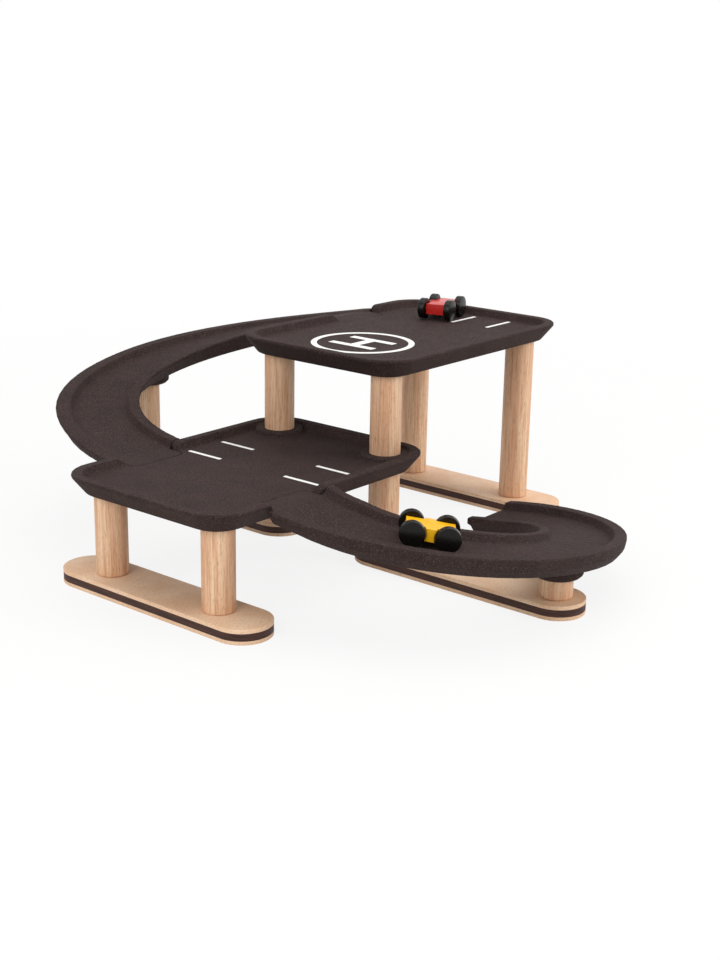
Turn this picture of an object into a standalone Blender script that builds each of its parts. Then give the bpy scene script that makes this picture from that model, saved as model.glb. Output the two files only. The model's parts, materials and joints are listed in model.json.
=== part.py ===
"""Toy parking garage: two trays on round posts, two curved ramps and two small wooden cars.

A Blender 4.5 script in metres. +Z is up, +Y points to the back, and +X runs along the four bases from
the upper ramp to the lower ramp. The origin lies on the table, under the middle of the bounding box.
"""
import math
from dataclasses import dataclass

import bmesh
import bpy
from mathutils import Matrix, Vector

# Fits
SEAT_GAP = 0.0003           # between two pieces that touch
HOLE_CLEARANCE = 0.0003     # radial, round a pin, screw, axle or post

# Posts
POST_RADIUS = 0.014
POST_CHAMFER = 0.0008
POST_PITCH_X = 0.128
POST_PITCH_Y = 0.211
RAMP_POST_REACH = 0.153     # from the decks' side edge out to the post under a ramp
SOCKET_DEPTH = 0.005        # how far a post enters the piece above it

# Bases: a sandwich of three boards with round ends
BASE_WIDTH = 0.0506
OUTER_BASE_MARGIN = 0.0515  # front and rear base, from the post's axis to the base's end
MIDDLE_BASE_MARGIN = BASE_WIDTH / 2
BOTTOM_BOARD = 0.0034
CORE_BOARD = 0.0058
TOP_BOARD = 0.0034
BOARD_EDGE_ROUND = 0.0006

# Decks: two equal trays
DECK_OVERHANG = 0.033       # from a post's axis to the deck's edge
DECK_CORNER_RADIUS = 0.035
MID_FLOOR = 0.097
UPPER_FLOOR = 0.1855
TRAY_DEPTH = 0.018          # from the rim's top to the underside
RIM_HEIGHT = 0.0065         # of the rim's top above the floor
DECK_RIM_WIDTH = 0.009
RIM_SLOPE = 0.004           # run of the slope from the rim down to the floor
RIM_EDGE_ROUND = 0.0008
LIP_HEIGHT = 0.0025         # upright part of the outer wall, under the rim's top
DECK_WALL_LEAN = 0.0115     # how far the outer wall leans in towards the underside
FOOT_RUN = 0.003            # last, flatter part of the wall
FOOT_DROP = 0.0012
RIM_END_ROUND = 0.003       # of the rim's end beside a ramp

# Socket rings on the mid deck, under the upper posts
RING_RADIUS = 0.0225
RING_HEIGHT = 0.0047
RING_RECESS = 0.001         # depth of the post's seat below the floor
RING_EDGE_ROUND = 0.0015

# Ramps
RAMP_LANDING = 0.004        # level run next to a deck
TONGUE_REACH = 0.022        # of a ramp's tongue past the deck's edge
TONGUE_THICKNESS = 0.005
TONGUE_CORNER_RADIUS = 0.010
TONGUE_ROOT = 0.003         # how deep the tongue is fused into the ramp
TONGUE_SIDE_GAP = 0.0005    # from the foot of the deck's rim to the tongue's side
FLARE_LENGTH = 0.030        # length of the widening next to a deck
EXIT_FLOOR = 0.02215        # the lower ramp's floor at its free end
EXIT_FADE = 0.010           # length in which the rims run out at the free end
EXIT_RIM_SHARE = 0.12       # of the rim's height that is left at the free end
BOSS_EDGE_ROUND = 0.003
BOSS_COVER = 0.005          # from the ramp's floor down to the boss's root
LEVEL_SHARE = 0.9           # of the landing that the first pair of stations spans
LEG_STEPS = 3
TURN_STATIONS = 32

# Joinery
SCREW_HEAD_RADIUS = 0.004
SCREW_HEAD_HEIGHT = 0.0022
SCREW_SHANK_RADIUS = 0.00175
SCREW_LENGTH = 0.030
SCREW_TIP = 0.002
SCREW_SINK = 0.0006         # of the head's face above the table
PIN_RADIUS = 0.004
PIN_LENGTH = 0.026

# Cars
WHEEL_RADIUS = 0.0103
WHEEL_WIDTH = 0.0065
WHEEL_DOME = 0.0008         # how far a wheel's face bulges
WHEEL_EDGE_ROUND = 0.0012
CAR_TRACK = 0.0275
CAR_WHEELBASE = 0.0285
AXLE_RADIUS = 0.0018
AXLE_OVERHANG = 0.0006      # of the axle past the wheel's face
BODY_LENGTH = 0.039
BODY_WIDTH = 0.0266
BODY_NECK_WIDTH = 0.0186    # between the wheels of one axle
BODY_BOTTOM = 0.0056        # above the floor
BODY_TOP = 0.0160
BODY_EDGE_ROUND = 0.0016
SCOOP_CLEARANCE = 0.0010    # radial, round a wheel
RED_CAR_FROM_LEFT = 0.0743  # from the upper deck's left edge to the car's middle
RED_CAR_FROM_REAR = 0.0467  # from the upper deck's rear edge
RED_CAR_HEADING = -75.0     # degrees from +X
YELLOW_CAR_TURN = 35.9      # degrees round the lower ramp's half turn
YELLOW_CAR_SIDE = 0.46      # share of the channel's width from the inner rail
YELLOW_CAR_HEADING = -141.4
CAR_LIFT = 0.0005           # clear of the floor

# Facets
POST_FACETS = 24
HOLE_FACETS = 10
RING_FACETS = 28
WHEEL_STEPS = 20
END_FACETS = 10             # of a half circle in a flat outline
CORNER_FACETS = 7           # of a quarter circle
CUT_OVERSHOOT = 0.004       # of a cutter past the face that it enters
WELD_DISTANCE = 0.00003     # of points that a union leaves side by side

# Places that follow from the sizes above
DECK_HALF_X = POST_PITCH_X / 2 + DECK_OVERHANG
BASE_TOP = BOTTOM_BOARD + CORE_BOARD + TOP_BOARD + 2 * SEAT_GAP
UNDERSIDE_DROP = TRAY_DEPTH - RIM_HEIGHT     # from a floor down to its underside
MID_UNDERSIDE = MID_FLOOR - UNDERSIDE_DROP
UPPER_UNDERSIDE = UPPER_FLOOR - UNDERSIDE_DROP
CAR_MID = (BODY_BOTTOM + BODY_TOP) / 2


def smooth(share):
    """Returns an eased share between 0 and 1."""
    t = min(1.0, max(0.0, share))
    return t * t * (3 - 2 * t)


@dataclass(frozen=True)
class Rail:
    """One edge of a ramp: its line in plan, its rim and its outer wall.

    In plan it is a leg out from the deck, a half turn and a leg back. start and end are the Y of the
    two legs, leg is their length, reach is how far the turn goes past them, and fullness is the turn's
    superellipse exponent, where 2 is an ellipse. The rim is rim_width wide on top. At each end it
    starts at a share of its full height, and reaches the full height over a fade. The wall leans in by
    lean towards the underside, and belly is the share of that lean at half the wall's height.
    """

    start: float
    end: float
    leg: float
    reach: float
    fullness: float
    rim_width: float
    lean: float
    belly: float = 0.5
    start_share: float = 1.0
    start_fade: float = 0.010
    end_share: float = 1.0
    end_fade: float = 0.010
    start_flare: float = 0.0
    end_flare: float = 0.0

    def flare(self, out, amount):
        """Returns the widening at a distance out from the deck."""
        return amount * max(0.0, 1.0 - out / FLARE_LENGTH) ** 2

    def rim(self, travelled, to_end):
        """Returns the rim's height above the floor at two distances from the ramp's ends."""
        start = self.start_share + (1 - self.start_share) * smooth(travelled / self.start_fade)
        end = self.end_share + (1 - self.end_share) * smooth(to_end / self.end_fade)
        return RIM_HEIGHT * start * end

    def edge(self, rim):
        """Returns this rail's part of the section as (distance in, height), from the floor outwards."""
        half_down = (RIM_HEIGHT - LIP_HEIGHT - UNDERSIDE_DROP + FOOT_DROP) / 2
        return [
            (self.rim_width + RIM_SLOPE, 0.0),
            (self.rim_width, rim),
            (RIM_EDGE_ROUND, rim),
            (0.0, rim - RIM_EDGE_ROUND),
            (0.0, rim - LIP_HEIGHT),
            (self.lean * self.belly, min(half_down, rim - LIP_HEIGHT - RIM_EDGE_ROUND)),
            (self.lean, FOOT_DROP - UNDERSIDE_DROP),
            (self.lean + FOOT_RUN, -UNDERSIDE_DROP),
        ]

    def turn_point(self, angle):
        """Returns (distance out, Y) at an angle round the half turn."""
        across = abs(math.sin(angle)) ** (2 / self.fullness)
        along = math.copysign(abs(math.cos(angle)) ** (2 / self.fullness), math.cos(angle))
        out = self.leg + self.reach * across
        widening = self.start_flare if along > 0 else self.end_flare
        y = (self.start + self.end) / 2 + (self.start - self.end) / 2 * along
        return out, y + self.flare(out, widening)

    def points(self):
        """Returns the rail as (distance out from the deck, Y), one point for each station."""
        level = SEAT_GAP + RAMP_LANDING * LEVEL_SHARE
        legs = [SEAT_GAP] + [level + (self.leg - level) * step / LEG_STEPS for step in range(LEG_STEPS)]
        found = [(out, self.start + self.flare(out, self.start_flare)) for out in legs]
        for step in range(TURN_STATIONS + 1):
            found.append(self.turn_point(math.pi * step / TURN_STATIONS))
        found += [(out, self.end + self.flare(out, self.end_flare)) for out in reversed(legs)]
        return found


@dataclass(frozen=True)
class Ramp:
    """A rimmed channel that falls from one level to another along two rails.

    side is -1 for a ramp left of the decks and 1 for one right of them. The grades at the start and
    the end are multiples of the mean grade. The gaps are the distances from the outer rail to the end
    of the deck's rim beside the ramp. The boss over the post stands out from the underside by its drop.
    """

    side: int
    top_floor: float
    bottom_floor: float
    start_grade: float
    end_grade: float
    outer: Rail
    inner: Rail
    boss_radius: float
    boss_drop: float
    start_gap: float
    end_gap: float = 0.0
    free_end: bool = False

    def plan(self, out, y):
        """Returns the plan point at a distance out from the deck."""
        return Vector((self.side * (DECK_HALF_X + out), y))

    def pair_at(self, angle):
        """Returns (inner point, outer point) in plan at an angle round the half turn."""
        return self.plan(*self.inner.turn_point(angle)), self.plan(*self.outer.turn_point(angle))

    def station_points(self):
        """Returns (inner point, outer point) in plan for each station, from the top down."""
        rails = zip(self.inner.points(), self.outer.points())
        return [(self.plan(*inner), self.plan(*outer)) for inner, outer in rails]

    def stations(self):
        """Returns (inner point, outer point, floor height, distance from the start, to the end) of each."""
        pairs = self.station_points()
        middles = [(inner + outer) / 2 for inner, outer in pairs]
        travelled = [0.0]
        for before, after in zip(middles, middles[1:]):
            travelled.append(travelled[-1] + (after - before).length)
        total = travelled[-1]
        found = []
        for (inner, outer), distance in zip(pairs, travelled):
            share = (distance - RAMP_LANDING) / (total - 2 * RAMP_LANDING)
            found.append((inner, outer, self.floor_at_share(share), distance, total - distance))
        return found

    def floor_at_share(self, share):
        """Returns the floor's height after a share of the fall's length."""
        t = min(1.0, max(0.0, share))
        fall = self.bottom_floor - self.top_floor
        start_part = (t ** 3 - 2 * t ** 2 + t) * self.start_grade
        end_part = (t ** 3 - t ** 2) * self.end_grade
        blend = 3 * t ** 2 - 2 * t ** 3
        return self.top_floor + fall * (blend + start_part + end_part)

    def floor_under(self, point):
        """Returns the floor's height under a plan point, between the two stations round it."""
        found = self.stations()
        best = None
        for before, after in zip(found, found[1:]):
            sides = []
            for inner, outer, *_ in (before, after):
                across = outer - inner
                off = point - inner
                sides.append((across.x * off.y - across.y * off.x) / across.length)
            if sides[0] * sides[1] > 0:
                continue
            share = abs(sides[0]) / max(1e-9, abs(sides[0]) + abs(sides[1]))
            middle = (before[0] + before[1]) / 2
            gap = (point - middle).length
            if best is None or gap < best[0]:
                best = (gap, before[2] + (after[2] - before[2]) * share)
        return best[1]

    def channel_at(self, index):
        """Returns the Y limits of the deck's rim gap at floor level, where index is 0 or -1."""
        inner, outer = self.station_points()[index]
        outward = math.copysign(1.0, outer.y - inner.y)
        gap = self.start_gap if index == 0 else self.end_gap
        near = inner.y + outward * (self.inner.rim_width + RIM_SLOPE)
        return sorted((near, outer.y - outward * gap))


UPPER_RAMP = Ramp(
    side=-1, top_floor=UPPER_FLOOR, bottom_floor=MID_FLOOR, start_grade=1.33, end_grade=0.59,
    outer=Rail(start=0.1827, end=-0.1762, leg=0.0164, reach=0.1794, fullness=1.98, rim_width=0.0134,
               lean=0.0079, start_share=0.236, start_fade=0.223, end_share=0.05, end_fade=0.110),
    inner=Rail(start=0.09575, end=-0.0972, leg=0.0076, reach=0.1073, fullness=2.1, rim_width=0.0101,
               lean=0.0120, start_share=0.6, start_fade=0.060),
    boss_radius=0.024, boss_drop=0.0061, start_gap=0.0103, end_gap=0.0022,
)
LOWER_RAMP = Ramp(
    side=1, top_floor=MID_FLOOR, bottom_floor=EXIT_FLOOR, start_grade=0.70, end_grade=0.73,
    outer=Rail(start=-0.1897, end=0.1533, leg=0.0384, reach=0.1611, fullness=2.04, rim_width=0.0104,
               lean=0.0066, belly=0.19, start_share=0.25, start_fade=0.100,
               end_share=EXIT_RIM_SHARE, end_fade=EXIT_FADE),
    inner=Rail(start=-0.1169, end=0.0804, leg=0.0424, reach=0.0814, fullness=2.0, rim_width=0.0085,
               lean=0.0110, start_flare=0.0073, end_share=EXIT_RIM_SHARE, end_fade=EXIT_FADE),
    boss_radius=0.022, boss_drop=0.0133, start_gap=0.0097, free_end=True,
)

# The bounding box runs from the upper ramp's turn to the lower ramp's, so its middle is off the decks'
UPPER_REACH = UPPER_RAMP.outer.leg + UPPER_RAMP.outer.reach
LOWER_REACH = LOWER_RAMP.outer.leg + LOWER_RAMP.outer.reach
ORIGIN_X = (LOWER_REACH - UPPER_REACH) / 2

FRONT_Y = -POST_PITCH_Y
REAR_Y = POST_PITCH_Y
POST_X = POST_PITCH_X / 2
RAMP_POST_X = DECK_HALF_X + RAMP_POST_REACH


def clear_scene():
    """Removes the objects that the scene holds."""
    for item in list(bpy.data.objects):
        bpy.data.objects.remove(item, do_unlink=True)


def new_collection(name):
    """Returns a new collection in the scene."""
    made = bpy.data.collections.new(name)
    bpy.context.scene.collection.children.link(made)
    return made


def new_material(name, colour, roughness, metallic=0.0):
    """Returns a Principled material."""
    made = bpy.data.materials.new(name)
    made.use_nodes = True
    shader = made.node_tree.nodes["Principled BSDF"]
    shader.inputs["Base Color"].default_value = (*colour, 1.0)
    shader.inputs["Roughness"].default_value = roughness
    shader.inputs["Metallic"].default_value = metallic
    return made


clear_scene()
PIECES = new_collection("toy_parking_garage")
CUTTERS = new_collection("cutters")
COMPOSITE = new_material("moulded_wood_composite", (0.045, 0.034, 0.031), 0.75)
POST_WOOD = new_material("turned_beech", (0.66, 0.43, 0.25), 0.55)
BOARD_WOOD = new_material("light_board", (0.70, 0.50, 0.31), 0.6)
CORE_WOOD = new_material("dark_core", (0.060, 0.028, 0.020), 0.7)
WHEEL_PAINT = new_material("black_gloss", (0.012, 0.011, 0.010), 0.25)
RED_PAINT = new_material("red_paint", (0.62, 0.035, 0.025), 0.35)
YELLOW_PAINT = new_material("yellow_paint", (0.85, 0.50, 0.02), 0.35)
STEEL = new_material("zinc_steel", (0.55, 0.55, 0.54), 0.35, 1.0)
PIN_WOOD = new_material("dowel_beech", (0.62, 0.42, 0.25), 0.6)


def add_object(name, mesh, collection, material=None, sharp=30.0):
    """Links a mesh as an object and shades it smooth up to a sharp angle in degrees."""
    made = bpy.data.objects.new(name, mesh)
    collection.objects.link(made)
    mesh.shade_smooth()
    mesh.set_sharp_from_angle(angle=math.radians(sharp))
    if material is not None:
        mesh.materials.append(material)
    if collection is CUTTERS:
        made.hide_render = True
        made.display_type = "WIRE"
    return made


def from_bmesh(name, bm, collection, material=None):
    """Turns a bmesh into an object with its faces pointing out."""
    bmesh.ops.recalc_face_normals(bm, faces=bm.faces[:])
    mesh = bpy.data.meshes.new(name)
    bm.to_mesh(mesh)
    bm.free()
    return add_object(name, mesh, collection, material)


def cylinder(name, radius, bottom, top, facets, collection, material=None, edge=0.0, edge_bottom=True,
             edge_top=True):
    """Makes an upright cylinder on the local Z axis, with optional rounded edges."""
    bm = bmesh.new()
    centre = (bottom + top) / 2
    bmesh.ops.create_cone(bm, cap_ends=True, segments=facets, radius1=radius, radius2=radius,
                          depth=top - bottom, matrix=Matrix.Translation((0, 0, centre)))
    if edge:
        rims = [e for e in bm.edges if len({round(v.co.z, 7) for v in e.verts}) == 1]
        wanted = [e for e in rims if (edge_top if e.verts[0].co.z > centre else edge_bottom)]
        bmesh.ops.bevel(bm, geom=wanted, offset=edge, segments=1, affect="EDGES", profile=0.5)
    return from_bmesh(name, bm, collection, material)


def flat_plate(name, outline, bottom, top, collection, material=None):
    """Makes a plate from a closed outline of (x, y) points, as a filled 2D curve turned into a mesh."""
    curve = bpy.data.curves.new(name, "CURVE")
    curve.dimensions = "2D"
    curve.fill_mode = "BOTH"
    curve.extrude = (top - bottom) / 2
    spline = curve.splines.new("POLY")
    spline.points.add(len(outline) - 1)
    for point, (x, y) in zip(spline.points, outline):
        point.co = (x, y, 0.0, 1.0)
    spline.use_cyclic_u = True
    guide = bpy.data.objects.new(name + "_outline", curve)
    CUTTERS.objects.link(guide)
    graph = bpy.context.evaluated_depsgraph_get()
    mesh = bpy.data.meshes.new_from_object(guide.evaluated_get(graph))
    bpy.data.objects.remove(guide, do_unlink=True)
    bm = bmesh.new()
    bm.from_mesh(mesh)
    bpy.data.meshes.remove(mesh)
    bmesh.ops.remove_doubles(bm, verts=bm.verts[:], dist=1e-6)
    bmesh.ops.dissolve_limit(bm, angle_limit=math.radians(0.5), verts=bm.verts[:], edges=bm.edges[:])
    bmesh.ops.translate(bm, verts=bm.verts[:], vec=(0, 0, (bottom + top) / 2))
    return from_bmesh(name, bm, collection, material)


def stadium(first_x, last_x, y, radius):
    """Returns the outline of a board with round ends, whose end circles sit at two X."""
    outline = []
    for centre, turn in ((last_x, -0.5), (first_x, 0.5)):
        for step in range(END_FACETS + 1):
            angle = math.pi * (turn + step / END_FACETS)
            outline.append((centre + radius * math.cos(angle), y + radius * math.sin(angle)))
    return outline


def turned(name, profile, collection, material, steps, closed):
    """Makes a turned piece on the local Z axis: a profile of (radius, height) with a Screw modifier."""
    bm = bmesh.new()
    verts = [bm.verts.new((radius, 0.0, height)) for radius, height in profile]
    for before, after in zip(verts, verts[1:]):
        bm.edges.new((before, after))
    if closed:
        bm.edges.new((verts[-1], verts[0]))
    mesh = bpy.data.meshes.new(name)
    bm.to_mesh(mesh)
    bm.free()
    made = add_object(name, mesh, collection, material)
    screw = made.modifiers.new("Turn", "SCREW")
    screw.axis = "Z"
    screw.angle = 2 * math.pi
    screw.steps = steps
    screw.render_steps = steps
    screw.use_merge_vertices = True
    screw.merge_threshold = 0.00002
    screw.use_smooth_shade = True
    return made


def boolean(target, operand, operation="DIFFERENCE"):
    """Cuts an operand from a target or joins it to the target."""
    step = target.modifiers.new(operation.title(), "BOOLEAN")
    step.operation = operation
    step.solver = "EXACT"
    step.object = operand


def place(item, x, y, z=0.0):
    """Moves an object to a place measured from the middle of the decks' shared post row."""
    item.location = (x - ORIGIN_X, y, z)


def make_deck(name, floor, middle_y):
    """Makes a tray: a rounded slab whose faces are inset up to the rim and down to the underside."""
    rim_top = floor + RIM_HEIGHT
    half_y = POST_PITCH_Y / 2 + DECK_OVERHANG
    bm = bmesh.new()
    slab = Matrix.Translation((0, 0, rim_top - LIP_HEIGHT / 2))
    slab @= Matrix.Diagonal((2 * DECK_HALF_X, 2 * half_y, LIP_HEIGHT, 1.0))
    bmesh.ops.create_cube(bm, size=1.0, matrix=slab)
    upright = [e for e in bm.edges if abs(e.verts[0].co.z - e.verts[1].co.z) > LIP_HEIGHT / 2]
    bmesh.ops.bevel(bm, geom=upright, offset=DECK_CORNER_RADIUS, segments=CORNER_FACETS,
                    affect="EDGES", profile=0.5)
    bm.faces.ensure_lookup_table()
    top = max(bm.faces, key=lambda face: face.calc_center_median().z)
    bottom = min(bm.faces, key=lambda face: face.calc_center_median().z)
    inset(bm, top, DECK_RIM_WIDTH, 0.0)
    inset(bm, top, RIM_SLOPE, -RIM_HEIGHT)
    inset(bm, bottom, DECK_WALL_LEAN, TRAY_DEPTH - LIP_HEIGHT - FOOT_DROP)
    inset(bm, bottom, FOOT_RUN, FOOT_DROP)
    edge = [e for e in bm.edges if all(abs(v.co.z - rim_top) < 1e-6 for v in e.verts)
            and any(abs(f.normal.z) < 0.5 for f in e.link_faces)]
    bmesh.ops.bevel(bm, geom=edge, offset=RIM_EDGE_ROUND, segments=1, affect="EDGES", profile=0.5)
    deck = from_bmesh(name, bm, PIECES, COMPOSITE)
    place(deck, 0.0, middle_y)
    return deck


def inset(bm, face, run, rise):
    """Insets one face by a run and moves it along its normal by a rise."""
    bmesh.ops.inset_region(bm, faces=[face], thickness=run, depth=rise, use_even_offset=True)


def cut_gap(deck, name, ramp, index):
    """Opens a deck's rim for a ramp and sinks a seat for the ramp's tongue into the floor."""
    low, high = ramp.channel_at(index)
    floor = ramp.top_floor if index == 0 else ramp.bottom_floor
    dip = TONGUE_THICKNESS / 2
    over = RIM_HEIGHT + CUT_OVERSHOOT
    lean = RIM_SLOPE / RIM_HEIGHT
    slope_top = RIM_HEIGHT - RIM_END_ROUND
    lip = slope_top * lean
    section = [
        (low + dip * lean, floor - dip),
        (high - dip * lean, floor - dip),
        (high + lip, floor + slope_top),
        (high + lip + RIM_END_ROUND, floor + RIM_HEIGHT - RIM_END_ROUND / 4),
        (high + lip + 3 * RIM_END_ROUND, floor + RIM_HEIGHT + RIM_END_ROUND / 4),
        (high + lip + 3 * RIM_END_ROUND, floor + over),
        (low - lip - 3 * RIM_END_ROUND, floor + over),
        (low - lip - 3 * RIM_END_ROUND, floor + RIM_HEIGHT + RIM_END_ROUND / 4),
        (low - lip - RIM_END_ROUND, floor + RIM_HEIGHT - RIM_END_ROUND / 4),
        (low - lip, floor + slope_top),
    ]
    inside = ramp.side * (DECK_HALF_X - DECK_RIM_WIDTH - RIM_SLOPE - SEAT_GAP)
    outside = ramp.side * (DECK_HALF_X + CUT_OVERSHOOT)
    bm = bmesh.new()
    rings = [[bm.verts.new((x, y, z)) for y, z in section] for x in (inside, outside)]
    bridge(bm, rings)
    channel = from_bmesh(name + "_channel_cut", bm, CUTTERS)
    place(channel, 0.0, 0.0)
    seat = tongue_plate(name + "_seat_cut", ramp, index, SEAT_GAP, CUT_OVERSHOOT + SEAT_GAP, CUTTERS)
    boolean(deck, channel)
    boolean(deck, seat)


def tongue_plate(name, ramp, index, grow, root, collection):
    """Makes the flat tongue of a ramp, or with grow above 0 the seat that it lies in."""
    low, high = ramp.channel_at(index)
    low += TONGUE_SIDE_GAP
    high -= TONGUE_SIDE_GAP
    floor = ramp.top_floor if index == 0 else ramp.bottom_floor
    tip = DECK_HALF_X - TONGUE_REACH - grow
    end = DECK_HALF_X + SEAT_GAP + root
    radius = TONGUE_CORNER_RADIUS + grow
    outline = [(end, low - grow), (end, high + grow)]
    for centre_y, turn in ((high + grow - radius, 0.5), (low - grow + radius, 1.0)):
        for step in range(CORNER_FACETS + 1):
            angle = math.pi * (turn + 0.5 * step / CORNER_FACETS)
            outline.append((tip + radius + radius * math.cos(angle), centre_y + radius * math.sin(angle)))
    outline = [(ramp.side * x, y) for x, y in outline]
    top = floor + (CUT_OVERSHOOT if grow else 0.0)
    plate = flat_plate(name, outline, floor - TONGUE_THICKNESS - grow, top, collection)
    place(plate, 0.0, 0.0)
    return plate


def bridge(bm, rings):
    """Joins closed rings of equal count with faces and closes both ends."""
    for before, after in zip(rings, rings[1:]):
        count = len(before)
        for index in range(count):
            follow = (index + 1) % count
            bm.faces.new((before[index], before[follow], after[follow], after[index]))
    bm.faces.new(rings[0])
    bm.faces.new(rings[-1])


def make_ramp(name, ramp, post_y):
    """Makes a ramp: a channel lofted along its rails, with its tongues and the boss over its post."""
    bm = bmesh.new()
    rings = []
    for inner, outer, floor, travelled, to_end in ramp.stations():
        across = (outer - inner).normalized()
        ring = []
        for offset, height in ramp.inner.edge(ramp.inner.rim(travelled, to_end)):
            spot = inner + across * offset
            ring.append(bm.verts.new((spot.x, spot.y, floor + height)))
        for offset, height in reversed(ramp.outer.edge(ramp.outer.rim(travelled, to_end))):
            spot = outer - across * offset
            ring.append(bm.verts.new((spot.x, spot.y, floor + height)))
        rings.append(ring)
    bridge(bm, rings)
    body = from_bmesh(name, bm, PIECES, COMPOSITE)
    place(body, 0.0, 0.0)
    for index in (0,) if ramp.free_end else (0, -1):
        tongue = tongue_plate(f"{name}_tongue_{abs(index)}", ramp, index, 0.0, TONGUE_ROOT, CUTTERS)
        boolean(body, tongue, "UNION")
    post_x = ramp.side * RAMP_POST_X
    floor = ramp.floor_under(Vector((post_x, post_y)))
    boss_bottom = floor - UNDERSIDE_DROP - ramp.boss_drop
    boss = cylinder(name + "_boss", ramp.boss_radius, 0.0, floor - BOSS_COVER - boss_bottom,
                    RING_FACETS, CUTTERS, edge=BOSS_EDGE_ROUND, edge_top=False)
    place(boss, post_x, post_y, boss_bottom)
    boolean(body, boss, "UNION")
    cut_socket(body, name + "_socket", post_x, post_y, boss_bottom)
    weld = body.modifiers.new("Weld", "WELD")
    weld.merge_threshold = WELD_DISTANCE
    return body, boss_bottom


def cut_socket(target, name, x, y, underside, depth=SOCKET_DEPTH):
    """Cuts a blind hole for a post's top into a piece's underside."""
    hole = cylinder(name + "_cut", POST_RADIUS + HOLE_CLEARANCE, -CUT_OVERSHOOT, depth, POST_FACETS,
                    CUTTERS)
    place(hole, x, y, underside)
    boolean(target, hole)


def make_post(name, x, y, bottom, top):
    """Makes a round post between two heights, its foot and head SEAT_GAP off what they touch."""
    post = cylinder(name, POST_RADIUS, 0.0, top - bottom - 2 * SEAT_GAP, POST_FACETS, PIECES,
                    POST_WOOD, edge=POST_CHAMFER)
    place(post, x, y, bottom + SEAT_GAP)
    return post


def screw_profile(grow):
    """Returns a countersunk screw's profile, grown all round for the hole that it sits in."""
    return [
        (0.0, SCREW_LENGTH + grow),
        (SCREW_SHANK_RADIUS + grow, SCREW_LENGTH - SCREW_TIP + grow),
        (SCREW_SHANK_RADIUS + grow, SCREW_HEAD_HEIGHT + grow),
        (SCREW_HEAD_RADIUS + grow, grow / 2),
        (SCREW_HEAD_RADIUS + grow, -grow if grow == 0 else -CUT_OVERSHOOT),
        (0.0, -grow if grow == 0 else -CUT_OVERSHOOT),
    ]


def make_screw(name, x, y, holders):
    """Makes a wood screw from below and cuts its hole into the pieces that hold it."""
    screw = turned(name, screw_profile(0.0), PIECES, STEEL, HOLE_FACETS, closed=False)
    place(screw, x, y, SCREW_SINK)
    hole = turned(name + "_cut", screw_profile(HOLE_CLEARANCE), CUTTERS, None, HOLE_FACETS, closed=False)
    place(hole, x, y, SCREW_SINK)
    for holder in holders:
        boolean(holder, hole)


def make_base(name, first_x, last_x, y, margin):
    """Makes a base of three boards under two posts, with its round ends past the posts' axes."""
    radius = BASE_WIDTH / 2
    reach = margin - radius
    outline = stadium(first_x - reach, last_x + reach, 0.0, radius)
    boards = []
    level = 0.0
    for layer, thickness, material in (("bottom_board", BOTTOM_BOARD, BOARD_WOOD),
                                       ("core", CORE_BOARD, CORE_WOOD),
                                       ("top_board", TOP_BOARD, BOARD_WOOD)):
        board = flat_plate(f"{name}_{layer}", outline, 0.0, thickness, PIECES, material)
        place(board, 0.0, y, level)
        boards.append(board)
        level += thickness + SEAT_GAP
    round_board_edge(boards[-1], TOP_BOARD, True)
    round_board_edge(boards[0], BOTTOM_BOARD, False)
    return boards


def round_board_edge(board, thickness, upper):
    """Rounds the outer edge of a board on its upper or lower face."""
    bm = bmesh.new()
    bm.from_mesh(board.data)
    level = thickness if upper else 0.0
    edges = [e for e in bm.edges if all(abs(v.co.z - level) < 1e-6 for v in e.verts) and len(e.link_faces) == 2
             and any(abs(f.normal.z) < 0.5 for f in e.link_faces)]
    bmesh.ops.bevel(bm, geom=edges, offset=BOARD_EDGE_ROUND, segments=1, affect="EDGES", profile=0.5)
    bm.to_mesh(board.data)
    bm.free()


def make_pin(name, x, y, middle_z, holders):
    """Makes a dowel pin and cuts its hole into the pieces that it joins."""
    pin = cylinder(name, PIN_RADIUS, -PIN_LENGTH / 2, PIN_LENGTH / 2, HOLE_FACETS, PIECES, PIN_WOOD,
                   edge=POST_CHAMFER)
    place(pin, x, y, middle_z)
    half = PIN_LENGTH / 2 + SEAT_GAP
    hole = cylinder(name + "_cut", PIN_RADIUS + HOLE_CLEARANCE, -half, half, HOLE_FACETS, CUTTERS)
    place(hole, x, y, middle_z)
    for holder in holders:
        boolean(holder, hole)


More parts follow.
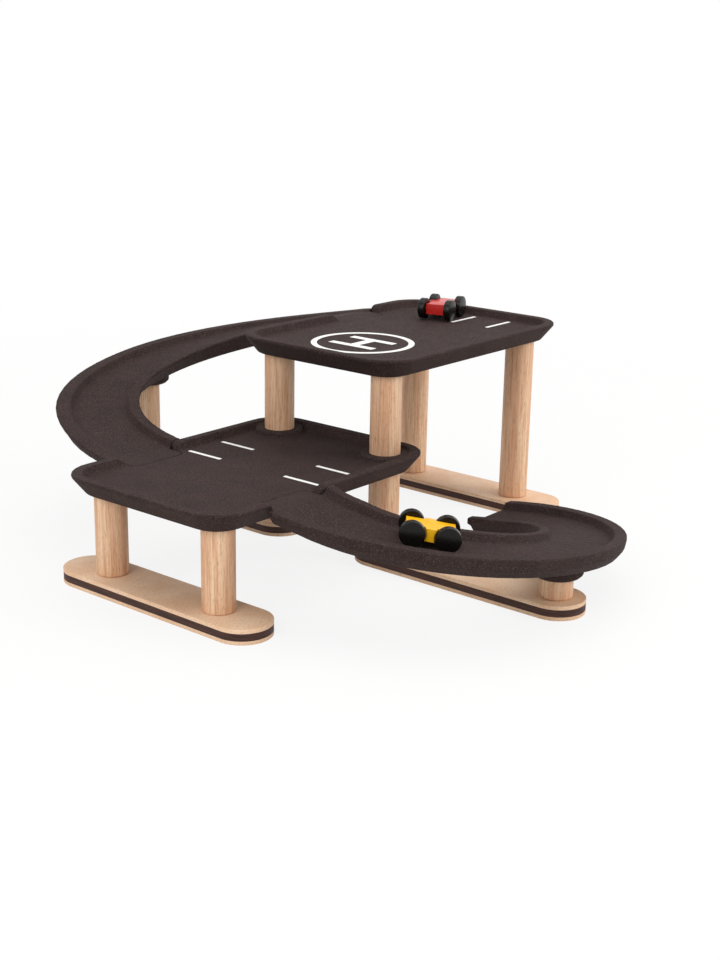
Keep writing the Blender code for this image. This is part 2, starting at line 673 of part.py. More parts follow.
def make_garage():
    """Makes everything that stands still."""
    upper_deck = make_deck("upper_deck", UPPER_FLOOR, REAR_Y / 2)
    mid_deck = make_deck("mid_deck", MID_FLOOR, FRONT_Y / 2)
    upper_ramp, upper_boss = make_ramp("upper_ramp", UPPER_RAMP, 0.0)
    lower_ramp, lower_boss = make_ramp("lower_ramp", LOWER_RAMP, 0.0)
    cut_gap(upper_deck, "upper_deck_left", UPPER_RAMP, 0)
    cut_gap(mid_deck, "mid_deck_left", UPPER_RAMP, -1)
    cut_gap(mid_deck, "mid_deck_right", LOWER_RAMP, 0)
    bases = {
        "front_base": make_base("front_base", -POST_X, POST_X, FRONT_Y, OUTER_BASE_MARGIN),
        "left_base": make_base("left_base", -RAMP_POST_X, -POST_X, 0.0, MIDDLE_BASE_MARGIN),
        "right_base": make_base("right_base", POST_X, RAMP_POST_X, 0.0, MIDDLE_BASE_MARGIN),
        "rear_base": make_base("rear_base", -POST_X, POST_X, REAR_Y, OUTER_BASE_MARGIN),
    }
    mid_seat = MID_UNDERSIDE + SOCKET_DEPTH
    upper_seat = UPPER_UNDERSIDE + SOCKET_DEPTH
    standing = (
        ("front_left_post", "front_base", -POST_X, FRONT_Y, mid_seat, mid_deck, MID_UNDERSIDE),
        ("front_right_post", "front_base", POST_X, FRONT_Y, mid_seat, mid_deck, MID_UNDERSIDE),
        ("lower_left_post", "left_base", -POST_X, 0.0, mid_seat, mid_deck, MID_UNDERSIDE),
        ("lower_right_post", "right_base", POST_X, 0.0, mid_seat, mid_deck, MID_UNDERSIDE),
        ("rear_left_post", "rear_base", -POST_X, REAR_Y, upper_seat, upper_deck, UPPER_UNDERSIDE),
        ("rear_right_post", "rear_base", POST_X, REAR_Y, upper_seat, upper_deck, UPPER_UNDERSIDE),
        ("upper_ramp_post", "left_base", -RAMP_POST_X, 0.0, upper_boss + SOCKET_DEPTH, None, 0.0),
        ("lower_ramp_post", "right_base", RAMP_POST_X, 0.0, lower_boss + SOCKET_DEPTH, None, 0.0),
    )
    posts = {}
    for name, base, x, y, top, deck, underside in standing:
        posts[name] = make_post(name, x, y, BASE_TOP, top)
        if deck is not None:
            cut_socket(deck, name + "_socket", x, y, underside)
        make_screw(name.replace("_post", "_screw"), x, y, [posts[name], *bases[base]])
    for side, x in (("left", -POST_X), ("right", POST_X)):
        add_ring(mid_deck, side, x)
        seat = MID_FLOOR - RING_RECESS
        post = make_post(f"upper_{side}_post", x, 0.0, seat, upper_seat)
        cut_socket(upper_deck, f"upper_{side}_socket", x, 0.0, UPPER_UNDERSIDE)
        middle = (mid_seat + seat) / 2
        make_pin(f"{side}_joining_pin", x, 0.0, middle, [posts[f"lower_{side}_post"], post, mid_deck])


def add_ring(deck, side, x):
    """Adds a raised socket ring to the mid deck and cuts the upper post's seat into it."""
    root = RIM_HEIGHT / 2
    ring = cylinder(f"{side}_ring", RING_RADIUS, -root, RING_HEIGHT, RING_FACETS, CUTTERS,
                    edge=RING_EDGE_ROUND, edge_bottom=False)
    place(ring, x, 0.0, MID_FLOOR)
    boolean(deck, ring, "UNION")
    seat = cylinder(f"{side}_ring_seat_cut", POST_RADIUS + HOLE_CLEARANCE, -RING_RECESS,
                    RING_HEIGHT + CUT_OVERSHOOT, POST_FACETS, CUTTERS)
    place(seat, x, 0.0, MID_FLOOR)
    boolean(deck, seat)


def make_wheel(name, parent, side):
    """Makes a wheel with a domed outer face on one side of a wheel set."""
    half = WHEEL_WIDTH / 2
    bore = AXLE_RADIUS + HOLE_CLEARANCE
    crown = WHEEL_RADIUS - WHEEL_EDGE_ROUND
    profile = [
        (bore, half + WHEEL_DOME),
        (crown * 0.6, half + WHEEL_DOME * 0.7),
        (crown, half),
        (WHEEL_RADIUS, half - WHEEL_EDGE_ROUND),
        (WHEEL_RADIUS, WHEEL_EDGE_ROUND - half),
        (crown, -half),
        (bore, -half),
    ]
    wheel = turned(name, profile, PIECES, WHEEL_PAINT, WHEEL_STEPS, closed=True)
    wheel.parent = parent
    wheel.location = (0.0, side * CAR_TRACK / 2, 0.0)
    wheel.rotation_euler = (-side * math.pi / 2, 0.0, 0.0)


def make_car(name, matrix, material):
    """Makes a car on a frame whose +X points ahead and whose floor is at Z 0."""
    root = bpy.data.objects.new(name + "_frame", None)
    PIECES.objects.link(root)
    root.matrix_world = matrix
    bm = bmesh.new()
    size = Matrix.Diagonal((BODY_LENGTH, BODY_WIDTH, BODY_TOP - BODY_BOTTOM, 1.0))
    bmesh.ops.create_cube(bm, size=1.0, matrix=size)
    bmesh.ops.bevel(bm, geom=bm.edges[:], offset=BODY_EDGE_ROUND, segments=2, affect="EDGES", profile=0.5)
    body = from_bmesh(name + "_body", bm, PIECES, material)
    body.parent = root
    body.location = (0.0, 0.0, CAR_MID)
    for end, x in (("front", CAR_WHEELBASE / 2), ("rear", -CAR_WHEELBASE / 2)):
        bore = cylinder(f"{name}_{end}_bore_cut", AXLE_RADIUS + HOLE_CLEARANCE, -BODY_WIDTH, BODY_WIDTH,
                        HOLE_FACETS, CUTTERS)
        turn_on_axle(bore, root, x, 0.0)
        boolean(body, bore)
        for side in (-1, 1):
            scoop = cylinder(f"{name}_{end}_scoop_{side}_cut", WHEEL_RADIUS + SCOOP_CLEARANCE, 0.0,
                             BODY_WIDTH, POST_FACETS, CUTTERS)
            turn_on_axle(scoop, root, x, side * BODY_NECK_WIDTH / 2, side)
            boolean(body, scoop)
        wheel_set = bpy.data.objects.new(f"{name}_{end}_wheel_set", None)
        PIECES.objects.link(wheel_set)
        wheel_set.parent = root
        wheel_set.location = (x, 0.0, WHEEL_RADIUS)
        half = CAR_TRACK / 2 + WHEEL_WIDTH / 2 + AXLE_OVERHANG
        axle = cylinder(f"{name}_{end}_axle", AXLE_RADIUS, -half, half, HOLE_FACETS, PIECES, STEEL)
        axle.parent = wheel_set
        axle.rotation_euler = (math.pi / 2, 0.0, 0.0)
        for label, side in (("left", 1), ("right", -1)):
            make_wheel(f"{name}_{end}_{label}_wheel", wheel_set, side)
    return root


def turn_on_axle(item, root, x, y, side=1):
    """Lays an upright cylinder along an axle of a car, pointing to one side."""
    item.parent = root
    item.location = (x, y, WHEEL_RADIUS)
    item.rotation_euler = (-side * math.pi / 2, 0.0, 0.0)


def frame_from(ahead, up, origin):
    """Returns a car's frame from its direction ahead, a rough up and its place on the floor."""
    forward = ahead.normalized()
    left = up.cross(forward).normalized()
    normal = forward.cross(left)
    frame = Matrix((forward, left, normal)).transposed().to_4x4()
    frame.translation = origin
    return frame


def red_car_frame():
    """Returns the place of the red car on the upper deck."""
    angle = math.radians(RED_CAR_HEADING)
    ahead = Vector((math.cos(angle), math.sin(angle), 0.0))
    x = RED_CAR_FROM_LEFT - DECK_HALF_X
    y = REAR_Y + DECK_OVERHANG - RED_CAR_FROM_REAR
    return frame_from(ahead, Vector((0, 0, 1)), Vector((x - ORIGIN_X, y, UPPER_FLOOR + CAR_LIFT)))


def yellow_car_frame():
    """Returns the place of the yellow car, nose uphill, on the plane under its four wheels."""
    spot = Vector.lerp(*LOWER_RAMP.pair_at(math.radians(YELLOW_CAR_TURN)), YELLOW_CAR_SIDE)
    heading = math.radians(YELLOW_CAR_HEADING)
    forward = Vector((math.cos(heading), math.sin(heading)))
    left = Vector((-forward.y, forward.x))
    heights = {}
    for along in (1, -1):
        for side in (1, -1):
            wheel = spot + forward * along * CAR_WHEELBASE / 2 + left * side * CAR_TRACK / 2
            heights[along, side] = LOWER_RAMP.floor_under(wheel)
    rise = (heights[1, 1] + heights[1, -1] - heights[-1, 1] - heights[-1, -1]) / 2
    roll = (heights[1, 1] + heights[-1, 1] - heights[1, -1] - heights[-1, -1]) / 2
    warp = abs(heights[1, 1] + heights[-1, -1] - heights[1, -1] - heights[-1, 1]) / 4
    middle = sum(heights.values()) / 4
    ahead = Vector((forward.x, forward.y, rise / CAR_WHEELBASE)).normalized()
    across = Vector((left.x, left.y, roll / CAR_TRACK)).normalized()
    normal = ahead.cross(across).normalized()
    origin = Vector((spot.x - ORIGIN_X, spot.y, middle)) + normal * (warp + CAR_LIFT)
    return frame_from(ahead, normal, origin)


def main():
    """Builds the garage and its two cars."""
    make_garage()
    make_car("red_car", red_car_frame(), RED_PAINT)
    make_car("yellow_car", yellow_car_frame(), YELLOW_PAINT)


main()
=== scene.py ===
"""The look of a toy parking garage: two trays on turned posts, two curved ramps and two small cars.

A Blender 4.5 script in metres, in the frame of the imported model. +Z is up, +Y points to the back,
and the table is at Z 0. The decks' shared middle line lies at the middle X of the upper deck's box.
"""
import json
import logging
import math
from collections.abc import Callable, Iterable
from dataclasses import dataclass
from enum import Enum

import bmesh
import bpy
from mathutils import Matrix, Vector


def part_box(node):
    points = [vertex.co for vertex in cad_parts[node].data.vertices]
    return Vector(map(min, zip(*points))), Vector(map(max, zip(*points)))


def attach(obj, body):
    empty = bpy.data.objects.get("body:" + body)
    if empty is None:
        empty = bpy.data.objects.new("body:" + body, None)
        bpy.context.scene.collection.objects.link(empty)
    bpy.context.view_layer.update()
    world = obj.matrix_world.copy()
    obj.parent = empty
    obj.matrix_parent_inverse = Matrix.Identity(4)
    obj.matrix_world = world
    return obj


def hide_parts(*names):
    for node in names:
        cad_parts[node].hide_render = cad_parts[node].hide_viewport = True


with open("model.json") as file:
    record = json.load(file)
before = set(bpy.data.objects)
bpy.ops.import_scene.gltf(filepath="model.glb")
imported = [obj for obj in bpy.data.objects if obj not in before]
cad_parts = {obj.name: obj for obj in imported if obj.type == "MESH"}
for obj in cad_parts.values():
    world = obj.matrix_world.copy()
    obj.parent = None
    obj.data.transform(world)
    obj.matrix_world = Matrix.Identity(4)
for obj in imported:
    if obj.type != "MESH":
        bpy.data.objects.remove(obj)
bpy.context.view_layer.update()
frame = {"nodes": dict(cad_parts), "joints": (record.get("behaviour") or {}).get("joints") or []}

LOG = logging.getLogger("parking_garage")
Piece = bpy.types.Object
Socket = bpy.types.NodeSocket
MM = 0.001
FACING = 0.99    # a normal with more than this share along an axis faces that way
UPRIGHT = 0.999  # an edge with more than this share along Z stands upright
STEEP = 0.5      # a normal with less than this share along Z is a wall's


class Domain(Enum):
    """What an edit-mode step works on."""

    FACE = "FACE"
    EDGE = "EDGE"
    VERT = "VERT"


class Side(Enum):
    """A side of a car, as the direction along its axle."""

    LEFT = 1
    RIGHT = -1


# ---------------------------------------------------------------- workbench


def clear_selection() -> None:
    """Leaves edit mode and deselects every object."""
    if bpy.context.object is not None and bpy.context.object.mode != "OBJECT":
        bpy.ops.object.mode_set(mode="OBJECT")
    bpy.ops.object.select_all(action="DESELECT")


def take_up(piece: Piece) -> None:
    """Makes one piece the only selected and active object."""
    clear_selection()
    piece.select_set(True)
    bpy.context.view_layer.objects.active = piece


def keep_as(name: str) -> Piece:
    """Names the object just added, puts its place into its mesh and returns it.

    Args:
        name: the name of the piece.

    Returns:
        The piece, at the origin, unturned and unscaled.
    """
    piece = bpy.context.object
    piece.name = name
    piece.data.name = name
    bpy.ops.object.transform_apply(location=True, rotation=True, scale=True)
    return piece


def add_block(name: str, low: Vector, high: Vector) -> Piece:
    """Adds a block between two corners.

    Args:
        name: the name of the piece.
        low: its lowest corner.
        high: its highest corner.

    Returns:
        The block.
    """
    clear_selection()
    bpy.ops.mesh.primitive_cube_add(size=1.0, location=(low + high) / 2, scale=high - low)
    return keep_as(name)


def add_round(name: str, radius: float, low: Vector, height: float, facets: int) -> Piece:
    """Adds an upright round bar.

    Args:
        name: the name of the piece.
        radius: its radius.
        low: the middle of its foot.
        height: its height.
        facets: how many faces go round it.

    Returns:
        The bar.
    """
    clear_selection()
    middle = low + Vector((0.0, 0.0, height / 2))
    bpy.ops.mesh.primitive_cylinder_add(vertices=facets, radius=radius, depth=height,
                                        location=middle)
    return keep_as(name)


def pick(piece: Piece, domain: Domain, test: Callable[[object], bool]) -> int:
    """Takes a piece into edit mode and selects there only what passes a test.

    Args:
        piece: the piece to work on.
        domain: whether faces, edges or points are tested.
        test: takes one of them from the bmesh and says whether it is selected.

    Returns:
        How many elements are selected.
    """
    if piece.mode != "EDIT":
        take_up(piece)
        bpy.ops.object.mode_set(mode="EDIT")
    bpy.ops.mesh.select_mode(type=domain.value)
    bpy.ops.mesh.select_all(action="DESELECT")
    shape = bmesh.from_edit_mesh(piece.data)
    shape.normal_update()
    parts = {Domain.FACE: shape.faces, Domain.EDGE: shape.edges, Domain.VERT: shape.verts}[domain]
    found = [part for part in parts if test(part)]
    for part in found:
        part.select_set(True)
    bmesh.update_edit_mesh(piece.data)
    return len(found)


def is_upright(edge: bmesh.types.BMEdge) -> bool:
    """Returns whether an edge stands along Z."""
    along = edge.verts[1].co - edge.verts[0].co
    return abs(along.z) > UPRIGHT * along.length


def is_rim(edge: bmesh.types.BMEdge, facing: float) -> bool:
    """Returns whether an edge bounds a cap that faces up (1) or down (-1)."""
    levels = [face.normal.z * facing for face in edge.link_faces]
    return len(levels) == 2 and max(levels) > FACING and abs(min(levels)) < STEEP


def is_end_rim(edge: bmesh.types.BMEdge) -> bool:
    """Returns whether an edge bounds the cap at either end of an upright bar."""
    return is_rim(edge, 1.0) or is_rim(edge, -1.0)


def round_edges(offset: float, segments: int) -> None:
    """Bevels the selected edges to a round of that radius."""
    bpy.ops.mesh.bevel(offset=offset, segments=segments, profile=0.5, affect="EDGES")


def push_out(step: Vector) -> None:
    """Extrudes the selected faces by a step."""
    bpy.ops.mesh.extrude_region_move(TRANSFORM_OT_translate={"value": tuple(step)})


def apply_step(piece: Piece, kind: str, **settings: object) -> None:
    """Adds a modifier to a piece and applies it.

    Args:
        piece: the piece to change.
        kind: the modifier's type.
        settings: the modifier's own settings.
    """
    take_up(piece)
    step = piece.modifiers.new(kind.title(), kind)
    for name, value in settings.items():
        setattr(step, name, value)
    bpy.ops.object.modifier_apply(modifier=step.name)


def cut_away(piece: Piece, cutter: Piece) -> None:
    """Cuts one object out of a piece and removes the cutter."""
    apply_step(piece, "BOOLEAN", operation="DIFFERENCE", solver="EXACT", object=cutter)
    bpy.data.objects.remove(cutter, do_unlink=True)


def copy_piece(source: Piece, name: str, move: Matrix) -> Piece:
    """Copies a piece, with a mesh of its own, and moves the copy.

    Args:
        source: the piece to copy.
        name: the name of the copy.
        move: where the copy goes, as a matrix on the source's own place.

    Returns:
        The copy, with its place in its mesh.
    """
    take_up(source)
    bpy.ops.object.duplicate(linked=False)
    bpy.context.object.matrix_world = move
    return keep_as(name)


def smooth(piece: Piece, angle: float = 30.0) -> None:
    """Shades a piece smooth up to an angle in degrees."""
    take_up(piece)
    bpy.ops.object.shade_smooth_by_angle(angle=math.radians(angle))


def hand_over(piece: Piece, body: str, finish: bpy.types.Material,
              nodes: Iterable[str] = ()) -> None:
    """Gives a finished piece its material and its body, and hides the CAD nodes that it replaces.

    Args:
        piece: the finished piece.
        body: the CAD body that it rides on.
        finish: its material.
        nodes: the CAD nodes that it replaces.
    """
    piece.data.materials.clear()
    piece.data.materials.append(finish)
    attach(piece, body)
    if nodes:
        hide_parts(*nodes)
    LOG.info("%s: %d faces on %s", piece.name, len(piece.data.polygons), body)


def middle_of(node: str) -> Vector:
    """Returns the middle of a CAD node's box."""
    low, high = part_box(node)
    return (low + high) / 2


def foot_of(node: str) -> Vector:
    """Returns the middle of the underside of a CAD node's box."""
    middle = middle_of(node)
    return Vector((middle.x, middle.y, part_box(node)[0].z))


def stand(x_axis: Vector, y_axis: Vector, z_axis: Vector, place: Vector) -> Matrix:
    """Returns the matrix that turns a thing's own axes to these and puts it at a place."""
    made = Matrix((x_axis, y_axis, z_axis)).transposed().to_4x4()
    made.translation = place
    return made


def repeat(first: Piece, nodes: tuple[str, ...]) -> dict[str, Piece]:
    """Copies a piece to the other CAD nodes of its shape.

    Args:
        first: the piece, whose name begins with that of the first node.
        nodes: the CAD nodes; the piece stands in the place of the first.

    Returns:
        The piece and its copies, each by its CAD node.
    """
    made = {nodes[0]: first}
    for node in nodes[1:]:
        step = Matrix.Translation(middle_of(node) - middle_of(nodes[0]))
        made[node] = copy_piece(first, first.name.replace(nodes[0], node), step)
    return made


# ---------------------------------------------------------------- finishes


def linear(colour: str) -> tuple[float, float, float, float]:
    """Turns an sRGB hex colour into the linear colour that a shader takes.

    Args:
        colour: the colour, written as "#RRGGBB".

    Returns:
        Its linear red, green and blue, and an alpha of 1.
    """
    shares = [int(colour[place:place + 2], 16) / 255 for place in (1, 3, 5)]
    red, green, blue = (s / 12.92 if s <= 0.04045 else ((s + 0.055) / 1.055) ** 2.4 for s in shares)
    return red, green, blue, 1.0


def per_metre(size_mm: float) -> float:
    """Returns the texture scale whose features are about size_mm across."""
    return 1.0 / (size_mm * MM)


def add_node(tree: bpy.types.NodeTree, kind: str, settings: dict[str, object] | None = None,
             inputs: dict[str | int, object] | None = None) -> bpy.types.Node:
    """Adds a shader node with its settings and its inputs.

    Args:
        tree: the node tree that it goes into.
        kind: the node's type.
        settings: the node's own attributes.
        inputs: for each input, by name or number, a value or the output that feeds it.

    Returns:
        The node.
    """
    made = tree.nodes.new(kind)
    for name, value in (settings or {}).items():
        setattr(made, name, value)
    for key, value in (inputs or {}).items():
        if isinstance(value, Socket):
            tree.links.new(value, made.inputs[key])
        else:
            made.inputs[key].default_value = value
    return made


@dataclass(frozen=True)
class Cover:
    """A colour that lies over another one where a pattern goes from one value to a second."""

    colour: str
    start: float
    full: float
    most: float = 1.0


@dataclass(frozen=True)
class Relief:
    """How strongly and how deep a pattern is pressed into a surface."""

    strength: float
    depth_mm: float


class Surface:
    """The node tree of one finish while it is being wired."""

    noise_span: tuple[float, float] = (0.3, 0.7)  # nearly all values of a noise lie in it
    ior: float = 1.5                              # about that of wood, resin, ink and lacquer

    def __init__(self, name: str) -> None:
        """Makes a Principled material with Object coordinates at hand."""
        self.material = bpy.data.materials.new(name)
        self.material.use_nodes = True
        self.tree = self.material.node_tree
        self.shader = self.tree.nodes["Principled BSDF"]
        self.place = add_node(self.tree, "ShaderNodeTexCoord").outputs["Object"]

    def lay(self, over: Cover, under: Socket | str, pattern: Socket) -> tuple[Socket, Socket]:
        """Lays a colour over another where a pattern is strong.

        Args:
            over: the colour on top.
            under: what feeds the colour below, or that colour itself.
            pattern: the pattern.

        Returns:
            The mixed colour, and the share that the upper colour has in it.
        """
        share = add_node(self.tree, "ShaderNodeMapRange", inputs={
            "Value": pattern, "From Min": over.start, "From Max": over.full, "To Max": over.most})
        mixed = add_node(self.tree, "ShaderNodeMix", {"data_type": "RGBA"}, {
            0: share.outputs["Result"], 6: linear(under) if isinstance(under, str) else under,
            7: linear(over.colour)})
        return mixed.outputs[2], share.outputs["Result"]

    def finish(self, colour: Socket, uneven: Socket, roughness: tuple[float, float],
               relief: Relief, constants: dict[str, object],
               height: Socket | None = None) -> bpy.types.Material:
        """Joins the patterns to the shader.

        Args:
            colour: what feeds the base colour.
            uneven: the pattern that makes the roughness uneven.
            roughness: the roughness at the pattern's low and at its high values.
            relief: the bump's strength and depth.
            constants: the shader's values that are the same all over.
            height: what feeds the bump, where it isn't the uneven pattern.

        Returns:
            The material.
        """
        rough = add_node(self.tree, "ShaderNodeMapRange", inputs={
            "Value": uneven, "From Min": self.noise_span[0], "From Max": self.noise_span[1],
            "To Min": roughness[0], "To Max": roughness[1]})
        bump = add_node(self.tree, "ShaderNodeBump", inputs={
            "Height": uneven if height is None else height, "Strength": relief.strength,
            "Distance": relief.depth_mm * MM})
        self.tree.links.new(colour, self.shader.inputs["Base Color"])
        self.tree.links.new(rough.outputs["Result"], self.shader.inputs["Roughness"])
        self.tree.links.new(bump.outputs["Normal"], self.shader.inputs["Normal"])
        for name, value in constants.items():
            self.shader.inputs[name].default_value = value
        return self.material


@dataclass(frozen=True)
class MouldedComposite:
    """Sawdust and dark resin pressed in a heated mould.

    The skin is matt and near black-brown. Sawdust grains show in it as fine paler dots between
    tiny dark pits, and the pressing leaves soft clouds. Real grains and pits are about 0.5 mm;
    they are drawn about twice as coarse to show.
    """

    name: str = "pressed_sawdust_composite"
    ground: str = "#2E2220"
    cloud: Cover = Cover("#372927", 0.35, 0.68)
    pit: Cover = Cover("#181211", 0.46, 0.32, 0.65)
    grain: Cover = Cover("#72635D", 0.54, 0.76, 0.45)
    cloud_mm: float = 26.0
    pit_mm: float = 1.25
    grain_mm: float = 1.0
    roughness: tuple[float, float] = (0.90, 0.74)
    gloss: float = 0.17
    relief: Relief = Relief(0.45, 0.15)

    def material(self) -> bpy.types.Material:
        """Returns the material."""
        skin = Surface(self.name)
        clouds = add_node(skin.tree, "ShaderNodeTexNoise", inputs={
            "Vector": skin.place, "Scale": per_metre(self.cloud_mm), "Detail": 4.0,
            "Roughness": 0.6}).outputs["Fac"]
        pits = add_node(skin.tree, "ShaderNodeTexNoise", inputs={
            "Vector": skin.place, "Scale": per_metre(self.pit_mm), "Detail": 2.0,
            "Roughness": 0.7}).outputs["Fac"]
        grains = add_node(skin.tree, "ShaderNodeTexNoise", inputs={
            "Vector": skin.place, "Scale": per_metre(self.grain_mm), "Detail": 1.0}).outputs["Fac"]
        clouded, _ = skin.lay(self.cloud, self.ground, clouds)
        pitted, _ = skin.lay(self.pit, clouded, pits)
        speckled, _ = skin.lay(self.grain, pitted, grains)
        return skin.finish(speckled, pits, self.roughness, self.relief,
                           {"IOR": skin.ior, "Specular IOR Level": self.gloss})


@dataclass(frozen=True)
class TurnedBeech:
    """Pale hardwood turned to a round bar, sanded and wiped with a clear satin oil.

    The grain runs along the bar: soft tone bands, fine streaks and short dark pores. Real pores
    are about 0.1 mm wide; they are drawn at 0.6 mm to show.
    """

    name: str = "turned_oiled_beech"
    pale: str = "#F0CEAA"
    band: Cover = Cover("#E2B08A", 0.36, 0.64)
    streak: Cover = Cover("#C98F68", 0.46, 0.68, 0.85)
    pore: Cover = Cover("#A06A4A", 0.60, 0.74, 0.60)
    band_mm: float = 8.0
    streak_mm: float = 1.4
    pore_mm: float = 0.6
    streak_stretch: float = 0.035
    pore_stretch: float = 0.10
    roughness: tuple[float, float] = (0.42, 0.58)
    relief: Relief = Relief(0.35, 0.08)

    def material(self) -> bpy.types.Material:
        """Returns the material."""
        wood = Surface(self.name)
        long_way = add_node(wood.tree, "ShaderNodeMapping", inputs={
            "Vector": wood.place, "Scale": (1.0, 1.0, self.streak_stretch)}).outputs["Vector"]
        bands = add_node(wood.tree, "ShaderNodeTexNoise", inputs={
            "Vector": long_way, "Scale": per_metre(self.band_mm), "Detail": 2.0,
            "Distortion": 0.4}).outputs["Fac"]
        streaks = add_node(wood.tree, "ShaderNodeTexNoise", inputs={
            "Vector": long_way, "Scale": per_metre(self.streak_mm), "Detail": 3.0,
            "Roughness": 0.65}).outputs["Fac"]
        short_way = add_node(wood.tree, "ShaderNodeMapping", inputs={
            "Vector": wood.place, "Scale": (1.0, 1.0, self.pore_stretch)}).outputs["Vector"]
        pores = add_node(wood.tree, "ShaderNodeTexNoise", inputs={
            "Vector": short_way, "Scale": per_metre(self.pore_mm), "Detail": 1.0}).outputs["Fac"]
        banded, _ = wood.lay(self.band, self.pale, bands)
        streaked, _ = wood.lay(self.streak, banded, streaks)
        porous, pore_share = wood.lay(self.pore, streaked, pores)
        height = add_node(wood.tree, "ShaderNodeMath", {"operation": "SUBTRACT"}, {
            0: streaks, 1: pore_share})
        return wood.finish(porous, streaks, self.roughness, self.relief, {"IOR": wood.ior},
                           height.outputs["Value"])


@dataclass(frozen=True)
class BoardFace:
    """Pale fibre board, sanded and clear coated.

    The face is even and warm, with fine darker fibres and a faint drift of tone along the board.
    Real fibres are about 0.1 mm wide; they are drawn at 1.2 mm to show.
    """

    name: str = "sanded_fibre_board"
    pale: str = "#F3D0AF"
    warm: Cover = Cover("#EAC09B", 0.35, 0.65)
    fibre: Cover = Cover("#BE8A64", 0.54, 0.74, 0.75)
    drift_mm: float = 30.0
    fibre_mm: float = 1.2
    fibre_stretch: float = 0.45
    roughness: tuple[float, float] = (0.45, 0.62)
    relief: Relief = Relief(0.25, 0.08)

    def material(self) -> bpy.types.Material:
        """Returns the material."""
        board = Surface(self.name)
        drift = add_node(board.tree, "ShaderNodeTexNoise", inputs={
            "Vector": board.place, "Scale": per_metre(self.drift_mm), "Detail": 3.0}).outputs["Fac"]
        lengthwise = add_node(board.tree, "ShaderNodeMapping", inputs={
            "Vector": board.place, "Scale": (self.fibre_stretch, 1.0, 1.0)}).outputs["Vector"]
        fibres = add_node(board.tree, "ShaderNodeTexNoise", inputs={
            "Vector": lengthwise, "Scale": per_metre(self.fibre_mm), "Detail": 2.0,
            "Roughness": 0.7}).outputs["Fac"]
        toned, _ = board.lay(self.warm, self.pale, drift)
        fibrous, _ = board.lay(self.fibre, toned, fibres)
        return board.finish(fibrous, fibres, self.roughness, self.relief, {"IOR": board.ior})


@dataclass(frozen=True)
class DarkCore:
    """Dark resin-bonded board, sawn and sanded at its edge.

    The sawn edge shows its pressed layers as fine lines along the board, with a low sheen.
    """

    name: str = "sawn_dark_core_board"
    dark: str = "#3A221B"
    layer: Cover = Cover("#52342B", 0.42, 0.66)
    seam: Cover = Cover("#25140F", 0.42, 0.32, 0.8)
    layer_mm: float = 1.1
    layer_stretch: float = 0.05
    roughness: tuple[float, float] = (0.5, 0.68)
    gloss: float = 0.3
    relief: Relief = Relief(0.3, 0.1)

    def material(self) -> bpy.types.Material:
        """Returns the material."""
        core = Surface(self.name)
        flat_way = add_node(core.tree, "ShaderNodeMapping", inputs={
            "Vector": core.place,
            "Scale": (self.layer_stretch, self.layer_stretch, 1.0)}).outputs["Vector"]
        layers = add_node(core.tree, "ShaderNodeTexNoise", inputs={
            "Vector": flat_way, "Scale": per_metre(self.layer_mm), "Detail": 2.0}).outputs["Fac"]
        layered, _ = core.lay(self.layer, self.dark, layers)
        seamed, _ = core.lay(self.seam, layered, layers)
        return core.finish(seamed, layers, self.roughness, self.relief,
                           {"IOR": core.ior, "Specular IOR Level": self.gloss})


@dataclass(frozen=True)
class Lacquer:
    """Coloured lacquer dipped over turned or shaped wood, in a few thin coats.

    It is smooth with a slight orange peel, and the wood's grain shows faintly in its colour and
    in its sheen. The values are those of a satin coat.
    """

    name: str
    colour: str
    shade: str
    roughness: tuple[float, float] = (0.26, 0.38)
    coat: float = 0.15
    gloss: float = 0.35
    shade_span: tuple[float, float, float] = (0.45, 0.72, 0.6)
    peel_mm: float = 2.2
    grain_mm: float = 1.0
    grain_stretch: float = 0.15
    grain_depth: float = 0.35
    coat_roughness: float = 0.12
    relief: Relief = Relief(0.08, 0.02)

    def material(self) -> bpy.types.Material:
        """Returns the material."""
        coat = Surface(self.name)
        peel = add_node(coat.tree, "ShaderNodeTexNoise", inputs={
            "Vector": coat.place, "Scale": per_metre(self.peel_mm), "Detail": 2.0}).outputs["Fac"]
        along = add_node(coat.tree, "ShaderNodeMapping", inputs={
            "Vector": coat.place,
            "Scale": (self.grain_stretch, self.grain_stretch, 1.0)}).outputs["Vector"]
        grain = add_node(coat.tree, "ShaderNodeTexNoise", inputs={
            "Vector": along, "Scale": per_metre(self.grain_mm), "Detail": 2.0}).outputs["Fac"]
        tinted, _ = coat.lay(Cover(self.shade, *self.shade_span), self.colour, grain)
        height = add_node(coat.tree, "ShaderNodeMath", {"operation": "MULTIPLY_ADD"}, {
            0: grain, 1: self.grain_depth, 2: peel})
        return coat.finish(tinted, peel, self.roughness, self.relief, {
            "IOR": coat.ior, "Specular IOR Level": self.gloss, "Coat Weight": self.coat,
            "Coat Roughness": self.coat_roughness}, height.outputs["Value"])


@dataclass(frozen=True)
class ScreenInk:
    """White ink pulled through a screen onto the composite, in one thick pass.

    It is matt and opaque, with the composite's grains, drawn twice as coarse as real ones,
    pressing through as tiny dips.
    """

    name: str = "screen_printed_white"
    white: str = "#F7F6F2"
    thin: Cover = Cover("#DAD6CF", 0.58, 0.76, 0.6)
    grain_mm: float = 1.1
    roughness: tuple[float, float] = (0.5, 0.7)
    relief: Relief = Relief(0.2, 0.06)

    def material(self) -> bpy.types.Material:
        """Returns the material."""
        ink = Surface(self.name)
        grains = add_node(ink.tree, "ShaderNodeTexNoise", inputs={
            "Vector": ink.place, "Scale": per_metre(self.grain_mm), "Detail": 2.0}).outputs["Fac"]
        worn, _ = ink.lay(self.thin, self.white, grains)
        return ink.finish(worn, grains, self.roughness, self.relief, {"IOR": ink.ior})


